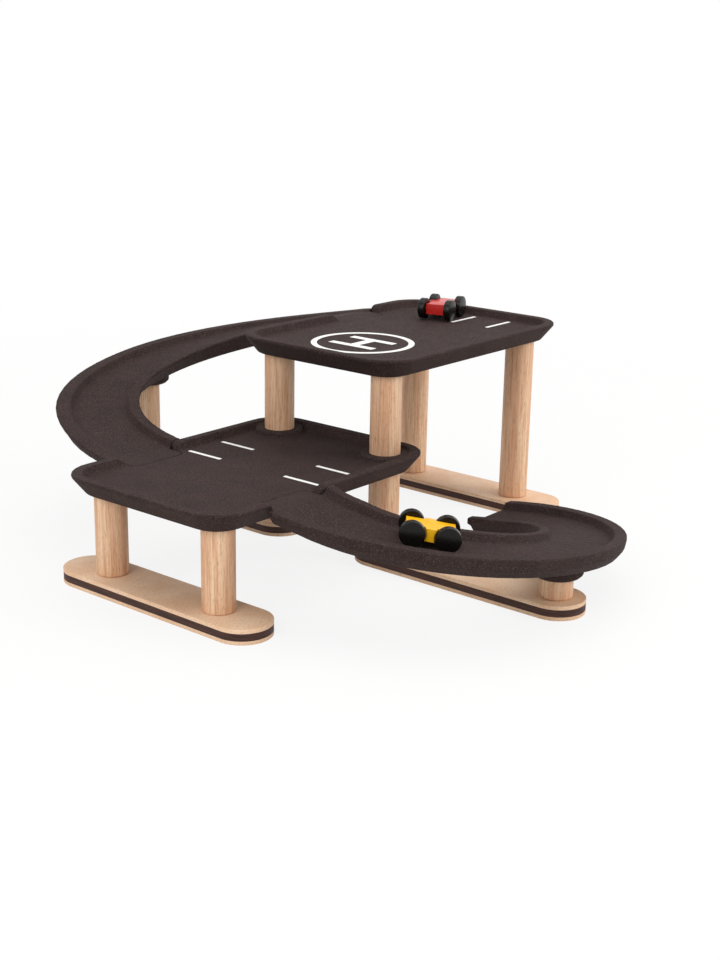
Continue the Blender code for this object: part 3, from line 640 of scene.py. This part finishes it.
@dataclass(frozen=True)
class ZincSteel:
    """Turned steel with a thin bright zinc plating.

    It is pale and metallic, with marks of the turning that make its sheen uneven. Real marks are
    about 0.1 mm apart; they are drawn at 0.8 mm to show.
    """

    name: str = "zinc_plated_steel"
    bright: str = "#C3C5C6"
    dull: Cover = Cover("#9EA1A3", 0.4, 0.7)
    mark_mm: float = 0.8
    roughness: tuple[float, float] = (0.26, 0.44)
    relief: Relief = Relief(0.15, 0.03)

    def material(self) -> bpy.types.Material:
        """Returns the material."""
        steel = Surface(self.name)
        marks = add_node(steel.tree, "ShaderNodeTexNoise", inputs={
            "Vector": steel.place, "Scale": per_metre(self.mark_mm), "Detail": 3.0}).outputs["Fac"]
        tone, _ = steel.lay(self.dull, self.bright, marks)
        return steel.finish(tone, marks, self.roughness, self.relief, {"Metallic": 1.0})


# ---------------------------------------------------------------- garage


@dataclass
class Trays:
    """The decks and the ramps: the CAD shapes with the soft edges that the hot mould leaves."""

    nodes: tuple[str, ...] = ("upper_deck", "mid_deck", "upper_ramp", "lower_ramp")
    weld: float = 0.02 * MM
    grid: float = 0.9 * MM
    soften_factor: float = 0.5
    soften_passes: int = 1
    kept_share: float = 0.38
    smooth_angle: float = 60.0
    exit_trim: float = 3.2 * MM
    exit_rise: float = 3.4 * MM
    exit_reach: float = 5.0 * MM
    exit_floor: float = 22.15 * MM
    exit_lip: float = 20.0 * MM
    level_play: float = 0.1 * MM
    finish: MouldedComposite = MouldedComposite()

    def shape_exit(self, ramp: Piece) -> None:
        """Gives the lower ramp's free end its upright rims and trims it square.

        The end lies at the mid deck's right edge. The heights of its floor and of the lip that is
        raised are above the table.

        Args:
            ramp: the lower ramp, in edit mode.
        """
        end = max(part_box("lower_ramp")[0].x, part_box("mid_deck")[1].x)
        cut = end + self.exit_trim
        pick(ramp, Domain.VERT, lambda point: point.co.x < end + self.exit_reach
             and point.co.y > 0.0 and point.co.z > self.exit_lip
             and abs(point.co.z - self.exit_floor) > self.level_play)
        bpy.ops.transform.translate(value=(0.0, 0.0, self.exit_rise))
        count = pick(ramp, Domain.FACE, lambda face: face.calc_center_median().y > 0.0
                     and min(point.co.x for point in face.verts) < cut)
        LOG.info("trimming %d faces at the exit", count)
        bpy.ops.mesh.bisect(plane_co=(cut, 0.0, 0.0), plane_no=(1.0, 0.0, 0.0), use_fill=True,
                            clear_inner=True)

    def mould(self, node: str) -> Piece:
        """Returns a copy of one CAD node with softened edges.

        Args:
            node: the CAD node.

        Returns:
            The piece.
        """
        mesh = frame["nodes"][node].data.copy()
        mesh.name = f"{node}_moulded"
        piece = bpy.data.objects.new(mesh.name, mesh)
        bpy.context.scene.collection.objects.link(piece)
        take_up(piece)
        bpy.ops.mesh.customdata_custom_splitnormals_clear()
        bpy.ops.object.mode_set(mode="EDIT")
        bpy.ops.mesh.select_all(action="SELECT")
        bpy.ops.mesh.remove_doubles(threshold=self.weld)
        bpy.ops.mesh.normals_make_consistent(inside=False)
        if node == "lower_ramp":
            self.shape_exit(piece)
        bpy.ops.object.mode_set(mode="OBJECT")
        apply_step(piece, "REMESH", mode="VOXEL", voxel_size=self.grid)
        apply_step(piece, "SMOOTH", factor=self.soften_factor, iterations=self.soften_passes)
        apply_step(piece, "DECIMATE", decimate_type="COLLAPSE", ratio=self.kept_share)
        smooth(piece, self.smooth_angle)
        return piece

    def build(self) -> None:
        """Moulds and dresses the decks and the ramps."""
        finish = self.finish.material()
        for node in self.nodes:
            hand_over(self.mould(node), "garage", finish, [node])


@dataclass
class Posts:
    """The turned posts. Those of one group are equal: the first is turned and the rest copied."""

    groups: tuple[tuple[str, ...], ...] = (
        ("front_left_post", "front_right_post", "lower_left_post", "lower_right_post"),
        ("rear_left_post", "rear_right_post"),
        ("upper_left_post", "upper_right_post"),
        ("upper_ramp_post",),
        ("lower_ramp_post",),
    )
    facets: int = 80
    end_round: float = 0.9 * MM
    end_segments: int = 4
    cap_inset: float = 4.0 * MM
    smooth_angle: float = 35.0
    finish: TurnedBeech = TurnedBeech()

    def turn(self, node: str) -> Piece:
        """Returns a post with rounded ends in the place of a CAD node.

        Args:
            node: the CAD node.

        Returns:
            The piece.
        """
        low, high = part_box(node)
        post = add_round(f"{node}_turned", (high.x - low.x) / 2, foot_of(node), high.z - low.z,
                         self.facets)
        pick(post, Domain.FACE, lambda face: abs(face.normal.z) > FACING)
        bpy.ops.mesh.inset(thickness=self.cap_inset, depth=0.0)
        pick(post, Domain.EDGE, is_end_rim)
        round_edges(self.end_round, self.end_segments)
        smooth(post, self.smooth_angle)
        return post

    def build(self) -> None:
        """Turns, copies and dresses the posts."""
        finish = self.finish.material()
        for group in self.groups:
            for node, post in repeat(self.turn(group[0]), group).items():
                hand_over(post, "garage", finish, [node])


@dataclass
class Bases:
    """The four bases: pale boards over and under a dark core, with round ends and eased edges."""

    twins: tuple[tuple[str, str], ...] = (("front_base", "rear_base"), ("left_base", "right_base"))
    edge_round: float = 0.7 * MM
    edge_segments: int = 3
    end_share: float = 0.9995  # of half the width, so that the two rounds just stay apart
    end_segments: int = 24
    weld: float = 0.03 * MM
    seam: float = 0.3 * MM
    core_set_back: float = 0.12 * MM
    pocket_radius: float = 4.3 * MM
    pocket_depth: float = 0.75 * MM
    pocket_facets: int = 48
    face: BoardFace = BoardFace()
    core: DarkCore = DarkCore()

    def plank(self, node: str, grow: float = 0.0, set_back: float = 0.0) -> Piece:
        """Returns a board with round ends in the place of a CAD node.

        Args:
            node: the CAD node.
            grow: how far it goes above and below the node.
            set_back: how far its edge lies inside the node's.

        Returns:
            The piece.
        """
        low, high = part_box(node)
        low += Vector((set_back, set_back, -grow))
        high += Vector((-set_back, -set_back, grow))
        plank = add_block(f"{node}_shaped", low, high)
        pick(plank, Domain.EDGE, is_upright)
        round_edges((high.y - low.y) / 2 * self.end_share, self.end_segments)
        bpy.ops.mesh.select_all(action="SELECT")
        bpy.ops.mesh.remove_doubles(threshold=self.weld)
        return plank

    def ease(self, plank: Piece, facing: float) -> None:
        """Rounds the edge of a board on the side that faces up (1) or down (-1)."""
        pick(plank, Domain.EDGE, lambda edge: is_rim(edge, facing))
        round_edges(self.edge_round, self.edge_segments)

    def sink_screws(self, plank: Piece, base: str) -> None:
        """Cuts the pockets of a base's screws into its bottom board.

        Args:
            plank: the bottom board.
            base: the base's name.
        """
        low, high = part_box(f"{base}_bottom_board")
        for node in frame["nodes"]:
            spot = middle_of(node)
            inside = low.x < spot.x < high.x and low.y < spot.y < high.y
            if node.endswith("_screw") and inside:
                foot = Vector((spot.x, spot.y, low.z - self.pocket_depth))
                cut_away(plank, add_round("pocket", self.pocket_radius, foot,
                                          2 * self.pocket_depth, self.pocket_facets))

    def build(self) -> None:
        """Shapes, copies and dresses the boards."""
        face, core = self.face.material(), self.core.material()
        for first, twin in self.twins:
            bottom = self.plank(f"{first}_bottom_board")
            self.ease(bottom, -1.0)
            self.sink_screws(bottom, first)
            middle = self.plank(f"{first}_core", self.seam, self.core_set_back)
            top = self.plank(f"{first}_top_board")
            self.ease(top, 1.0)
            for layer, board, finish, slot in (("bottom_board", bottom, face, "board_wood"),
                                               ("core", middle, core, "core_wood"),
                                               ("top_board", top, face, "board_wood")):
                smooth(board)
                pair = (f"{first}_{layer}", f"{twin}_{layer}")
                for node, piece in repeat(board, pair).items():
                    hand_over(piece, "garage", finish, [node])


@dataclass
class Fasteners:
    """The screws seen from below, with a cross recess, and the dowel pins inside the posts."""

    screws: tuple[str, ...] = ("front_left_screw", "front_right_screw", "rear_left_screw",
                               "rear_right_screw", "lower_left_screw", "lower_right_screw",
                               "upper_ramp_screw", "lower_ramp_screw")
    pins: tuple[str, ...] = ("left_joining_pin", "right_joining_pin")
    head_radius: float = 4.0 * MM
    head_height: float = 2.2 * MM
    shank_radius: float = 1.75 * MM
    tip: float = 2.0 * MM
    tip_share: float = 0.12
    slot_length: float = 4.6 * MM
    slot_width: float = 0.9 * MM
    slot_depth: float = 1.1 * MM
    facets: int = 48
    steel: ZincSteel = ZincSteel()
    dowel: TurnedBeech = TurnedBeech("grooved_dowel_beech", "#DDBB96",
                                     Cover("#CDA27A", 0.36, 0.64))

    def turn_screw(self, node: str) -> Piece:
        """Returns a countersunk screw with a cross recess in the place of a CAD node.

        Args:
            node: the CAD node.

        Returns:
            The piece.
        """
        low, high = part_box(node)
        foot = foot_of(node)
        neck = foot + Vector((0.0, 0.0, self.head_height))
        share = self.shank_radius / self.head_radius
        screw = add_round(f"{node}_turned", self.head_radius, foot, self.head_height, self.facets)
        pick(screw, Domain.FACE, lambda face: face.normal.z > FACING)
        bpy.ops.transform.resize(value=(share, share, 1.0), center_override=neck)
        push_out(Vector((0.0, 0.0, high.z - low.z - self.head_height - self.tip)))
        push_out(Vector((0.0, 0.0, self.tip)))
        bpy.ops.transform.resize(value=(self.tip_share, self.tip_share, 1.0), center_override=neck)
        bpy.ops.object.mode_set(mode="OBJECT")
        across, along = self.slot_width / 2, self.slot_length / 2
        under = Vector((0.0, 0.0, self.slot_depth))
        for half in (Vector((along, across, 0.0)), Vector((across, along, 0.0))):
            cut_away(screw, add_block("recess", foot - half - under, foot + half + under))
        smooth(screw)
        return screw

    def build(self) -> None:
        """Makes and copies the screws and dresses the pins."""
        steel, dowel = self.steel.material(), self.dowel.material()
        for node, screw in repeat(self.turn_screw(self.screws[0]), self.screws).items():
            hand_over(screw, "garage", steel, [node])
        for node in self.pins:
            pin = frame["nodes"][node]
            pin.data.materials.clear()
            pin.data.materials.append(dowel)


@dataclass
class Marks:
    """The white prints: parking lines on both decks, and a landing ring with its letter.

    The middles of the lines and of the ring are in mm from the decks' shared middle line.
    """

    mid_floor: float = 97.0 * MM
    upper_floor: float = 185.5 * MM
    height: float = 0.14 * MM
    root: float = 0.12 * MM
    line_length: float = 39.8 * MM
    line_width: float = 3.8 * MM
    mid_lines: tuple[tuple[float, float], ...] = ((-58.0, -63.0), (-58.0, -105.0),
                                                  (58.0, -63.0), (58.0, -105.0))
    upper_lines: tuple[tuple[float, float], ...] = ((-1.0, 205.0), (40.0, 206.5))
    ring_middle: tuple[float, float] = (0.0, 44.0)
    ring_radius: float = 48.2 * MM
    ring_width: float = 5.6 * MM
    ring_facets: int = 160
    letter_length: float = 51.2 * MM
    letter_pitch: float = 30.6 * MM
    stroke: float = 7.8 * MM
    bar: float = 9.4 * MM
    corner: float = 0.6 * MM
    corner_segments: int = 3
    corner_angle: float = 0.5  # radians, so that no edge inside a flat side is rounded
    play: float = 0.1 * MM
    finish: ScreenInk = ScreenInk()

    def at(self, spot: tuple[float, float], floor: float) -> Vector:
        """Returns the place on a deck's floor of a spot in mm from the decks' middle line."""
        return Vector((middle_of("upper_deck").x + spot[0] * MM, spot[1] * MM, floor))

    def slab(self, name: str, middle: Vector, half: Vector) -> Piece:
        """Returns a block of ink, rooted a little in the floor.

        Args:
            name: the name of the piece.
            middle: its middle, on the floor.
            half: half of its size in plan.

        Returns:
            The piece.
        """
        low = middle - half - Vector((0.0, 0.0, self.root))
        return add_block(name, low, middle + half + Vector((0.0, 0.0, self.height)))

    def line(self, name: str, spot: tuple[float, float], floor: float, along_x: bool) -> Piece:
        """Returns a parking line with eased corners.

        Args:
            name: the name of the piece.
            spot: its middle in mm.
            floor: the height of the deck's floor.
            along_x: whether it runs along X, and else along Y.

        Returns:
            The piece.
        """
        reach, half = self.line_length / 2, self.line_width / 2
        plan = Vector((reach, half, 0.0)) if along_x else Vector((half, reach, 0.0))
        return self.ease(self.slab(name, self.at(spot, floor), plan))

    def ease(self, mark: Piece) -> Piece:
        """Rounds a mark's corners in plan and its upper edge, and returns it."""
        pick(mark, Domain.EDGE, lambda edge: is_upright(edge)
             and edge.calc_face_angle(0.0) > self.corner_angle)
        round_edges(self.corner, self.corner_segments)
        return self.ease_top(mark)

    def ease_top(self, mark: Piece) -> Piece:
        """Rounds a mark's upper edge and returns the mark."""
        pick(mark, Domain.EDGE, lambda edge: is_rim(edge, 1.0))
        round_edges(self.height / 2, 1)
        smooth(mark)
        return mark

    def ring(self) -> Piece:
        """Returns the landing ring."""
        foot = self.at(self.ring_middle, self.upper_floor - self.root)
        ring = add_round("landing_ring", self.ring_radius, foot, self.root + self.height,
                         self.ring_facets)
        pick(ring, Domain.FACE, lambda face: abs(face.normal.z) > FACING)
        bpy.ops.mesh.inset(thickness=self.ring_width, depth=0.0)
        bpy.ops.mesh.bridge_edge_loops()
        return self.ease_top(ring)

    def letter(self) -> Piece:
        """Returns the landing letter: a bar whose ends are drawn out to two strokes."""
        middle = self.at(self.ring_middle, self.upper_floor)
        half = Vector((self.bar / 2, (self.letter_pitch - self.stroke) / 2, 0.0))
        letter = self.slab("landing_letter", middle, half)
        arm = (self.letter_length - self.bar) / 2
        for way in (1.0, -1.0):
            pick(letter, Domain.FACE, lambda face: face.normal.y * way > FACING
                 and (face.calc_center_median().y - middle.y) * way > half.y - self.play)
            push_out(Vector((0.0, way * self.stroke, 0.0)))
            for turn in (1.0, -1.0):
                pick(letter, Domain.FACE, lambda face: face.normal.x * turn > FACING
                     and (face.calc_center_median().y - middle.y) * way > half.y + self.play)
                push_out(Vector((turn * arm, 0.0, 0.0)))
        return self.ease(letter)

    def build(self) -> None:
        """Prints the marks on the decks."""
        finish = self.finish.material()
        made = [self.ring(), self.letter()]
        for number, spot in enumerate(self.mid_lines, 1):
            made.append(self.line(f"mid_deck_line_{number}", spot, self.mid_floor, True))
        for number, spot in enumerate(self.upper_lines, 1):
            made.append(self.line(f"upper_deck_line_{number}", spot, self.upper_floor, False))
        for mark in made:
            hand_over(mark, "garage", finish)


# ---------------------------------------------------------------- cars


@dataclass
class Wheels:
    """The black wheels of both cars, turned once and copied, and the axles between them."""

    radius: float = 10.3 * MM
    width: float = 6.5 * MM
    dome: float = 0.5 * MM
    dome_steps: tuple[float, ...] = (0.36, 0.28, 0.20, 0.12)  # of the dome, from its edge in
    edge_round: float = 0.9 * MM
    edge_segments: int = 6
    flat: float = 0.9999  # tells a wheel's flat face from the first facet of its round edge
    back_inset: float = 0.5  # of the radius
    facets: int = 72
    smooth_angle: float = 50.0
    track: float = 27.5 * MM
    axle_radius: float = 1.8 * MM
    axle_cover: float = 1.5 * MM
    axle_round: float = 0.3 * MM
    axle_segments: int = 2
    axle_facets: int = 32
    axle_smooth_angle: float = 35.0
    lacquer: Lacquer = Lacquer("black_gloss_lacquer", "#110F0D", "#171412", (0.20, 0.28),
                               coat=0.0, gloss=0.22)
    steel: ZincSteel = ZincSteel("drawn_axle_steel")

    def turn_wheel(self) -> Piece:
        """Returns a wheel at the origin, whose outer face looks along +Z."""
        foot = Vector((0.0, 0.0, -self.width / 2))
        wheel = add_round("wheel_pattern", self.radius, foot, self.width, self.facets)
        pick(wheel, Domain.EDGE, is_end_rim)
        round_edges(self.edge_round, self.edge_segments)
        pick(wheel, Domain.FACE, lambda face: face.normal.z > self.flat)
        run = (self.radius - self.edge_round) / (len(self.dome_steps) + 1)
        for share in self.dome_steps:
            bpy.ops.mesh.inset(thickness=run, depth=self.dome * share)
        pick(wheel, Domain.FACE, lambda face: face.normal.z < -self.flat)
        bpy.ops.mesh.inset(thickness=self.radius * self.back_inset, depth=0.0)
        smooth(wheel, self.smooth_angle)
        return wheel

    def draw_axle(self) -> Piece:
        """Returns an axle at the origin along Z, whose ends stay inside the wheels."""
        half = self.track / 2 + self.width / 2 - self.axle_cover
        axle = add_round("axle_pattern", self.axle_radius, Vector((0.0, 0.0, -half)), 2 * half,
                         self.axle_facets)
        pick(axle, Domain.EDGE, is_end_rim)
        round_edges(self.axle_round, self.axle_segments)
        smooth(axle, self.axle_smooth_angle)
        return axle

    def place(self, joint: dict, side: Side) -> Matrix:
        """Returns where a wheel goes.

        Args:
            joint: the hinge of its wheel set.
            side: the side of the car that it is on.

        Returns:
            A matrix whose Z points out of the car along the axle.
        """
        out = Vector(joint["axis"]).normalized() * side.value
        across = out.cross(Vector((0.0, 0.0, 1.0))).normalized()
        return stand(across, out.cross(across), out,
                     Vector(joint["pos_m"]) + out * self.track / 2)

    def build(self) -> None:
        """Turns, copies and dresses the wheels and axles of every wheel set."""
        black, steel = self.lacquer.material(), self.steel.material()
        wheel, axle = self.turn_wheel(), self.draw_axle()
        for joint in frame["joints"]:
            if joint["type"] != "hinge":
                continue
            body = joint["child"]
            end = body.removesuffix("_wheels")
            for side in Side:
                node = f"{end}_{side.name.lower()}_wheel"
                copied = copy_piece(wheel, f"{node}_turned", self.place(joint, side))
                hand_over(copied, body, black, [node])
            centre = self.place(joint, Side.LEFT)
            centre.translation = Vector(joint["pos_m"])
            copied = copy_piece(axle, f"{end}_axle_drawn", centre)
            hand_over(copied, body, steel, [f"{end}_axle"])
        for pattern in (wheel, axle):
            bpy.data.objects.remove(pattern, do_unlink=True)


@dataclass
class Car:
    """A car's body: a block with round arches scooped out over its four wheels."""

    name: str
    slot: str
    paint: Lacquer
    length: float = 39.0 * MM
    width: float = 26.6 * MM
    neck: float = 18.6 * MM
    bottom: float = 5.6 * MM
    top: float = 16.0 * MM
    corner: float = 1.8 * MM
    edge_round: float = 1.0 * MM
    edge_segments: int = 4
    edge_angle: float = 35.0
    smooth_angle: float = 40.0
    wheel_radius: float = 10.3 * MM
    wheelbase: float = 28.5 * MM
    scoop_clearance: float = 1.0 * MM
    facets: int = 72

    def own_frame(self) -> Matrix:
        """Returns the car's frame: X ahead, Y to its left, Z 0 on the floor under its wheels."""
        joints = {joint["name"]: joint for joint in frame["joints"]}
        front = Vector(joints[f"{self.name}_front_spin"]["pos_m"])
        rear = Vector(joints[f"{self.name}_rear_spin"]["pos_m"])
        left = Vector(joints[f"{self.name}_front_spin"]["axis"]).normalized()
        ahead = (front - rear).normalized()
        up = ahead.cross(left).normalized()
        return stand(ahead, left, up, (front + rear) / 2 - up * self.wheel_radius)

    def scoop(self, along: float, side: Side) -> Piece:
        """Returns the cutter of one wheel arch: a round bar across the car beyond its neck."""
        clear_selection()
        reach = self.width / 2
        spot = Vector((along, side.value * (self.neck / 2 + reach / 2), self.wheel_radius))
        bpy.ops.mesh.primitive_cylinder_add(
            vertices=self.facets, radius=self.wheel_radius + self.scoop_clearance, depth=reach,
            location=spot, rotation=(math.pi / 2, 0.0, 0.0))
        return keep_as("arch")

    def carve(self) -> Piece:
        """Returns the body in the place of its CAD node."""
        half = Vector((self.length / 2, self.width / 2, 0.0))
        low = Vector((-half.x, -half.y, self.bottom))
        body = add_block(f"{self.name}_body_carved", low, Vector((half.x, half.y, self.top)))
        pick(body, Domain.EDGE, is_upright)
        round_edges(self.corner, self.edge_segments)
        for along in (self.wheelbase / 2, -self.wheelbase / 2):
            for side in Side:
                cut_away(body, self.scoop(along, side))
        apply_step(body, "BEVEL", width=self.edge_round, segments=self.edge_segments,
                   limit_method="ANGLE", angle_limit=math.radians(self.edge_angle))
        smooth(body, self.smooth_angle)
        take_up(body)
        body.matrix_world = self.own_frame()
        return keep_as(body.name)

    def build(self) -> None:
        """Carves and dresses the body."""
        hand_over(self.carve(), self.name, self.paint.material(), [f"{self.name}_body"])


# ---------------------------------------------------------------- studio


@dataclass(frozen=True)
class Softbox:
    """A square soft lamp that looks at the garage."""

    name: str
    place: tuple[float, float, float]
    size: float
    watts: float

    def build(self, target: Vector) -> None:
        """Adds the lamp, turned to a target."""
        lamp = bpy.data.lights.new(self.name, "AREA")
        lamp.shape = "SQUARE"
        lamp.size = self.size
        lamp.energy = self.watts
        made = bpy.data.objects.new(self.name, lamp)
        made.location = self.place
        made.rotation_euler = (target - Vector(self.place)).to_track_quat("-Z", "Y").to_euler()
        bpy.context.scene.collection.objects.link(made)


@dataclass
class Studio:
    """A pale paper floor, soft lamps and the camera at the photograph's angle."""

    lamps: tuple[Softbox, ...] = (
        Softbox("overhead_softbox", (0.1, 0.3, 2.1), 2.2, 19.5),
        Softbox("front_softbox", (0.3, -2.1, 1.5), 1.4, 18.0),
        Softbox("right_softbox", (2.0, 1.1, 1.2), 1.1, 21.0),
    )
    lamp_target: tuple[float, float, float] = (0.0, 0.0, 0.1)
    ambient: float = 0.57
    white: str = "#FFFFFF"
    paper: str = "#F2F1EF"
    paper_near: float = 0.85
    paper_fade: tuple[float, float] = (0.45, 1.3)
    floor_size: float = 40.0
    camera_place: tuple[float, float, float] = (850.9 * MM, -995.1 * MM, 461.6 * MM)
    azimuth: float = 39.32
    elevation: float = 16.95
    roll: float = 1.05
    focal_pixels: float = 1471.6
    long_side_pixels: float = 960.0
    sensor: float = 36.0
    nearest: float = 0.01

    def lay_floor(self) -> None:
        """Lays the paper, which turns to plain white further out, so that it has no far edge."""
        clear_selection()
        bpy.ops.mesh.primitive_plane_add(size=self.floor_size)
        floor = keep_as("paper_floor")
        material = bpy.data.materials.new("white_backdrop_paper")
        material.use_nodes = True
        tree = material.node_tree
        tree.nodes.clear()
        place = add_node(tree, "ShaderNodeTexCoord").outputs["Object"]
        away = add_node(tree, "ShaderNodeVectorMath", {"operation": "LENGTH"}, {0: place})
        share = add_node(tree, "ShaderNodeMapRange", {"interpolation_type": "SMOOTHSTEP"}, {
            "Value": away.outputs["Value"], "From Min": self.paper_fade[0],
            "From Max": self.paper_fade[1], "To Min": self.paper_near, "To Max": 1.0})
        seen = add_node(tree, "ShaderNodeMath", {"operation": "MULTIPLY"}, {
            0: share.outputs["Result"], 1: self.seen_directly(tree)})
        matt = add_node(tree, "ShaderNodeBsdfDiffuse", inputs={"Color": linear(self.paper)})
        white = add_node(tree, "ShaderNodeEmission", inputs={"Color": linear(self.white)})
        mixed = add_node(tree, "ShaderNodeMixShader", inputs={
            0: seen.outputs["Value"], 1: matt.outputs["BSDF"], 2: white.outputs["Emission"]})
        add_node(tree, "ShaderNodeOutputMaterial", inputs={"Surface": mixed.outputs["Shader"]})
        floor.data.materials.append(material)

    def seen_directly(self, tree: bpy.types.NodeTree) -> Socket:
        """Returns a socket that is 1 for the camera and for what is seen in gloss or in glass."""
        path = add_node(tree, "ShaderNodeLightPath")
        gloss = add_node(tree, "ShaderNodeMath", {"operation": "MAXIMUM"}, {
            0: path.outputs["Is Camera Ray"], 1: path.outputs["Is Glossy Ray"]})
        every = add_node(tree, "ShaderNodeMath", {"operation": "MAXIMUM"}, {
            0: gloss.outputs["Value"], 1: path.outputs["Is Transmission Ray"]})
        return every.outputs["Value"]

    def light_world(self) -> None:
        """Makes the world white to the camera and a soft even light to the object."""
        world = bpy.data.worlds.new("studio_world")
        world.use_nodes = True
        bpy.context.scene.world = world
        tree = world.node_tree
        tree.nodes.clear()
        strength = add_node(tree, "ShaderNodeMapRange", inputs={
            "Value": self.seen_directly(tree), "To Min": self.ambient, "To Max": 1.0})
        sky = add_node(tree, "ShaderNodeBackground", inputs={
            "Color": linear(self.white), "Strength": strength.outputs["Result"]})
        add_node(tree, "ShaderNodeOutputWorld", inputs={"Surface": sky.outputs["Background"]})

    def set_camera(self) -> None:
        """Puts the camera where the photograph was taken from."""
        turn, tilt, roll = (math.radians(a) for a in (self.azimuth, self.elevation, self.roll))
        ahead = Vector((-math.sin(turn) * math.cos(tilt), math.cos(turn) * math.cos(tilt),
                        -math.sin(tilt)))
        right = ahead.cross(Vector((0.0, 0.0, 1.0))).normalized()
        up = right.cross(ahead)
        x_axis = right * math.cos(roll) + up * math.sin(roll)
        y_axis = up * math.cos(roll) - right * math.sin(roll)
        lens = bpy.data.cameras.new("photo_camera")
        lens.sensor_width = self.sensor
        lens.lens = self.focal_pixels * self.sensor / self.long_side_pixels
        lens.clip_start = self.nearest
        camera = bpy.data.objects.new("photo_camera", lens)
        place = Vector(self.camera_place) + Vector((middle_of("upper_deck").x, 0.0, 0.0))
        camera.matrix_world = stand(x_axis, y_axis, -ahead, place)
        bpy.context.scene.collection.objects.link(camera)
        bpy.context.scene.camera = camera

    def build(self) -> None:
        """Sets up the floor, the lamps, the world and the camera."""
        self.lay_floor()
        self.light_world()
        for lamp in self.lamps:
            lamp.build(Vector(self.lamp_target))
        self.set_camera()
        bpy.context.scene.view_settings.view_transform = "Standard"


def main() -> None:
    """Builds the garage and its cars, then the studio round them."""
    logging.basicConfig(level=logging.INFO, format="%(name)s %(message)s")
    red = Lacquer("red_satin_enamel", "#CC2620", "#AE1D19")
    yellow = Lacquer("yellow_satin_enamel", "#FFC212", "#F7AC0E")
    cars = Car("red_car", "red_paint", red), Car("yellow_car", "yellow_paint", yellow)
    for part in (Trays(), Posts(), Bases(), Fasteners(), Marks(), Wheels(), *cars, Studio()):
        LOG.info("building %s", type(part).__name__)
        part.build()


if __name__ == "__main__":
    main()
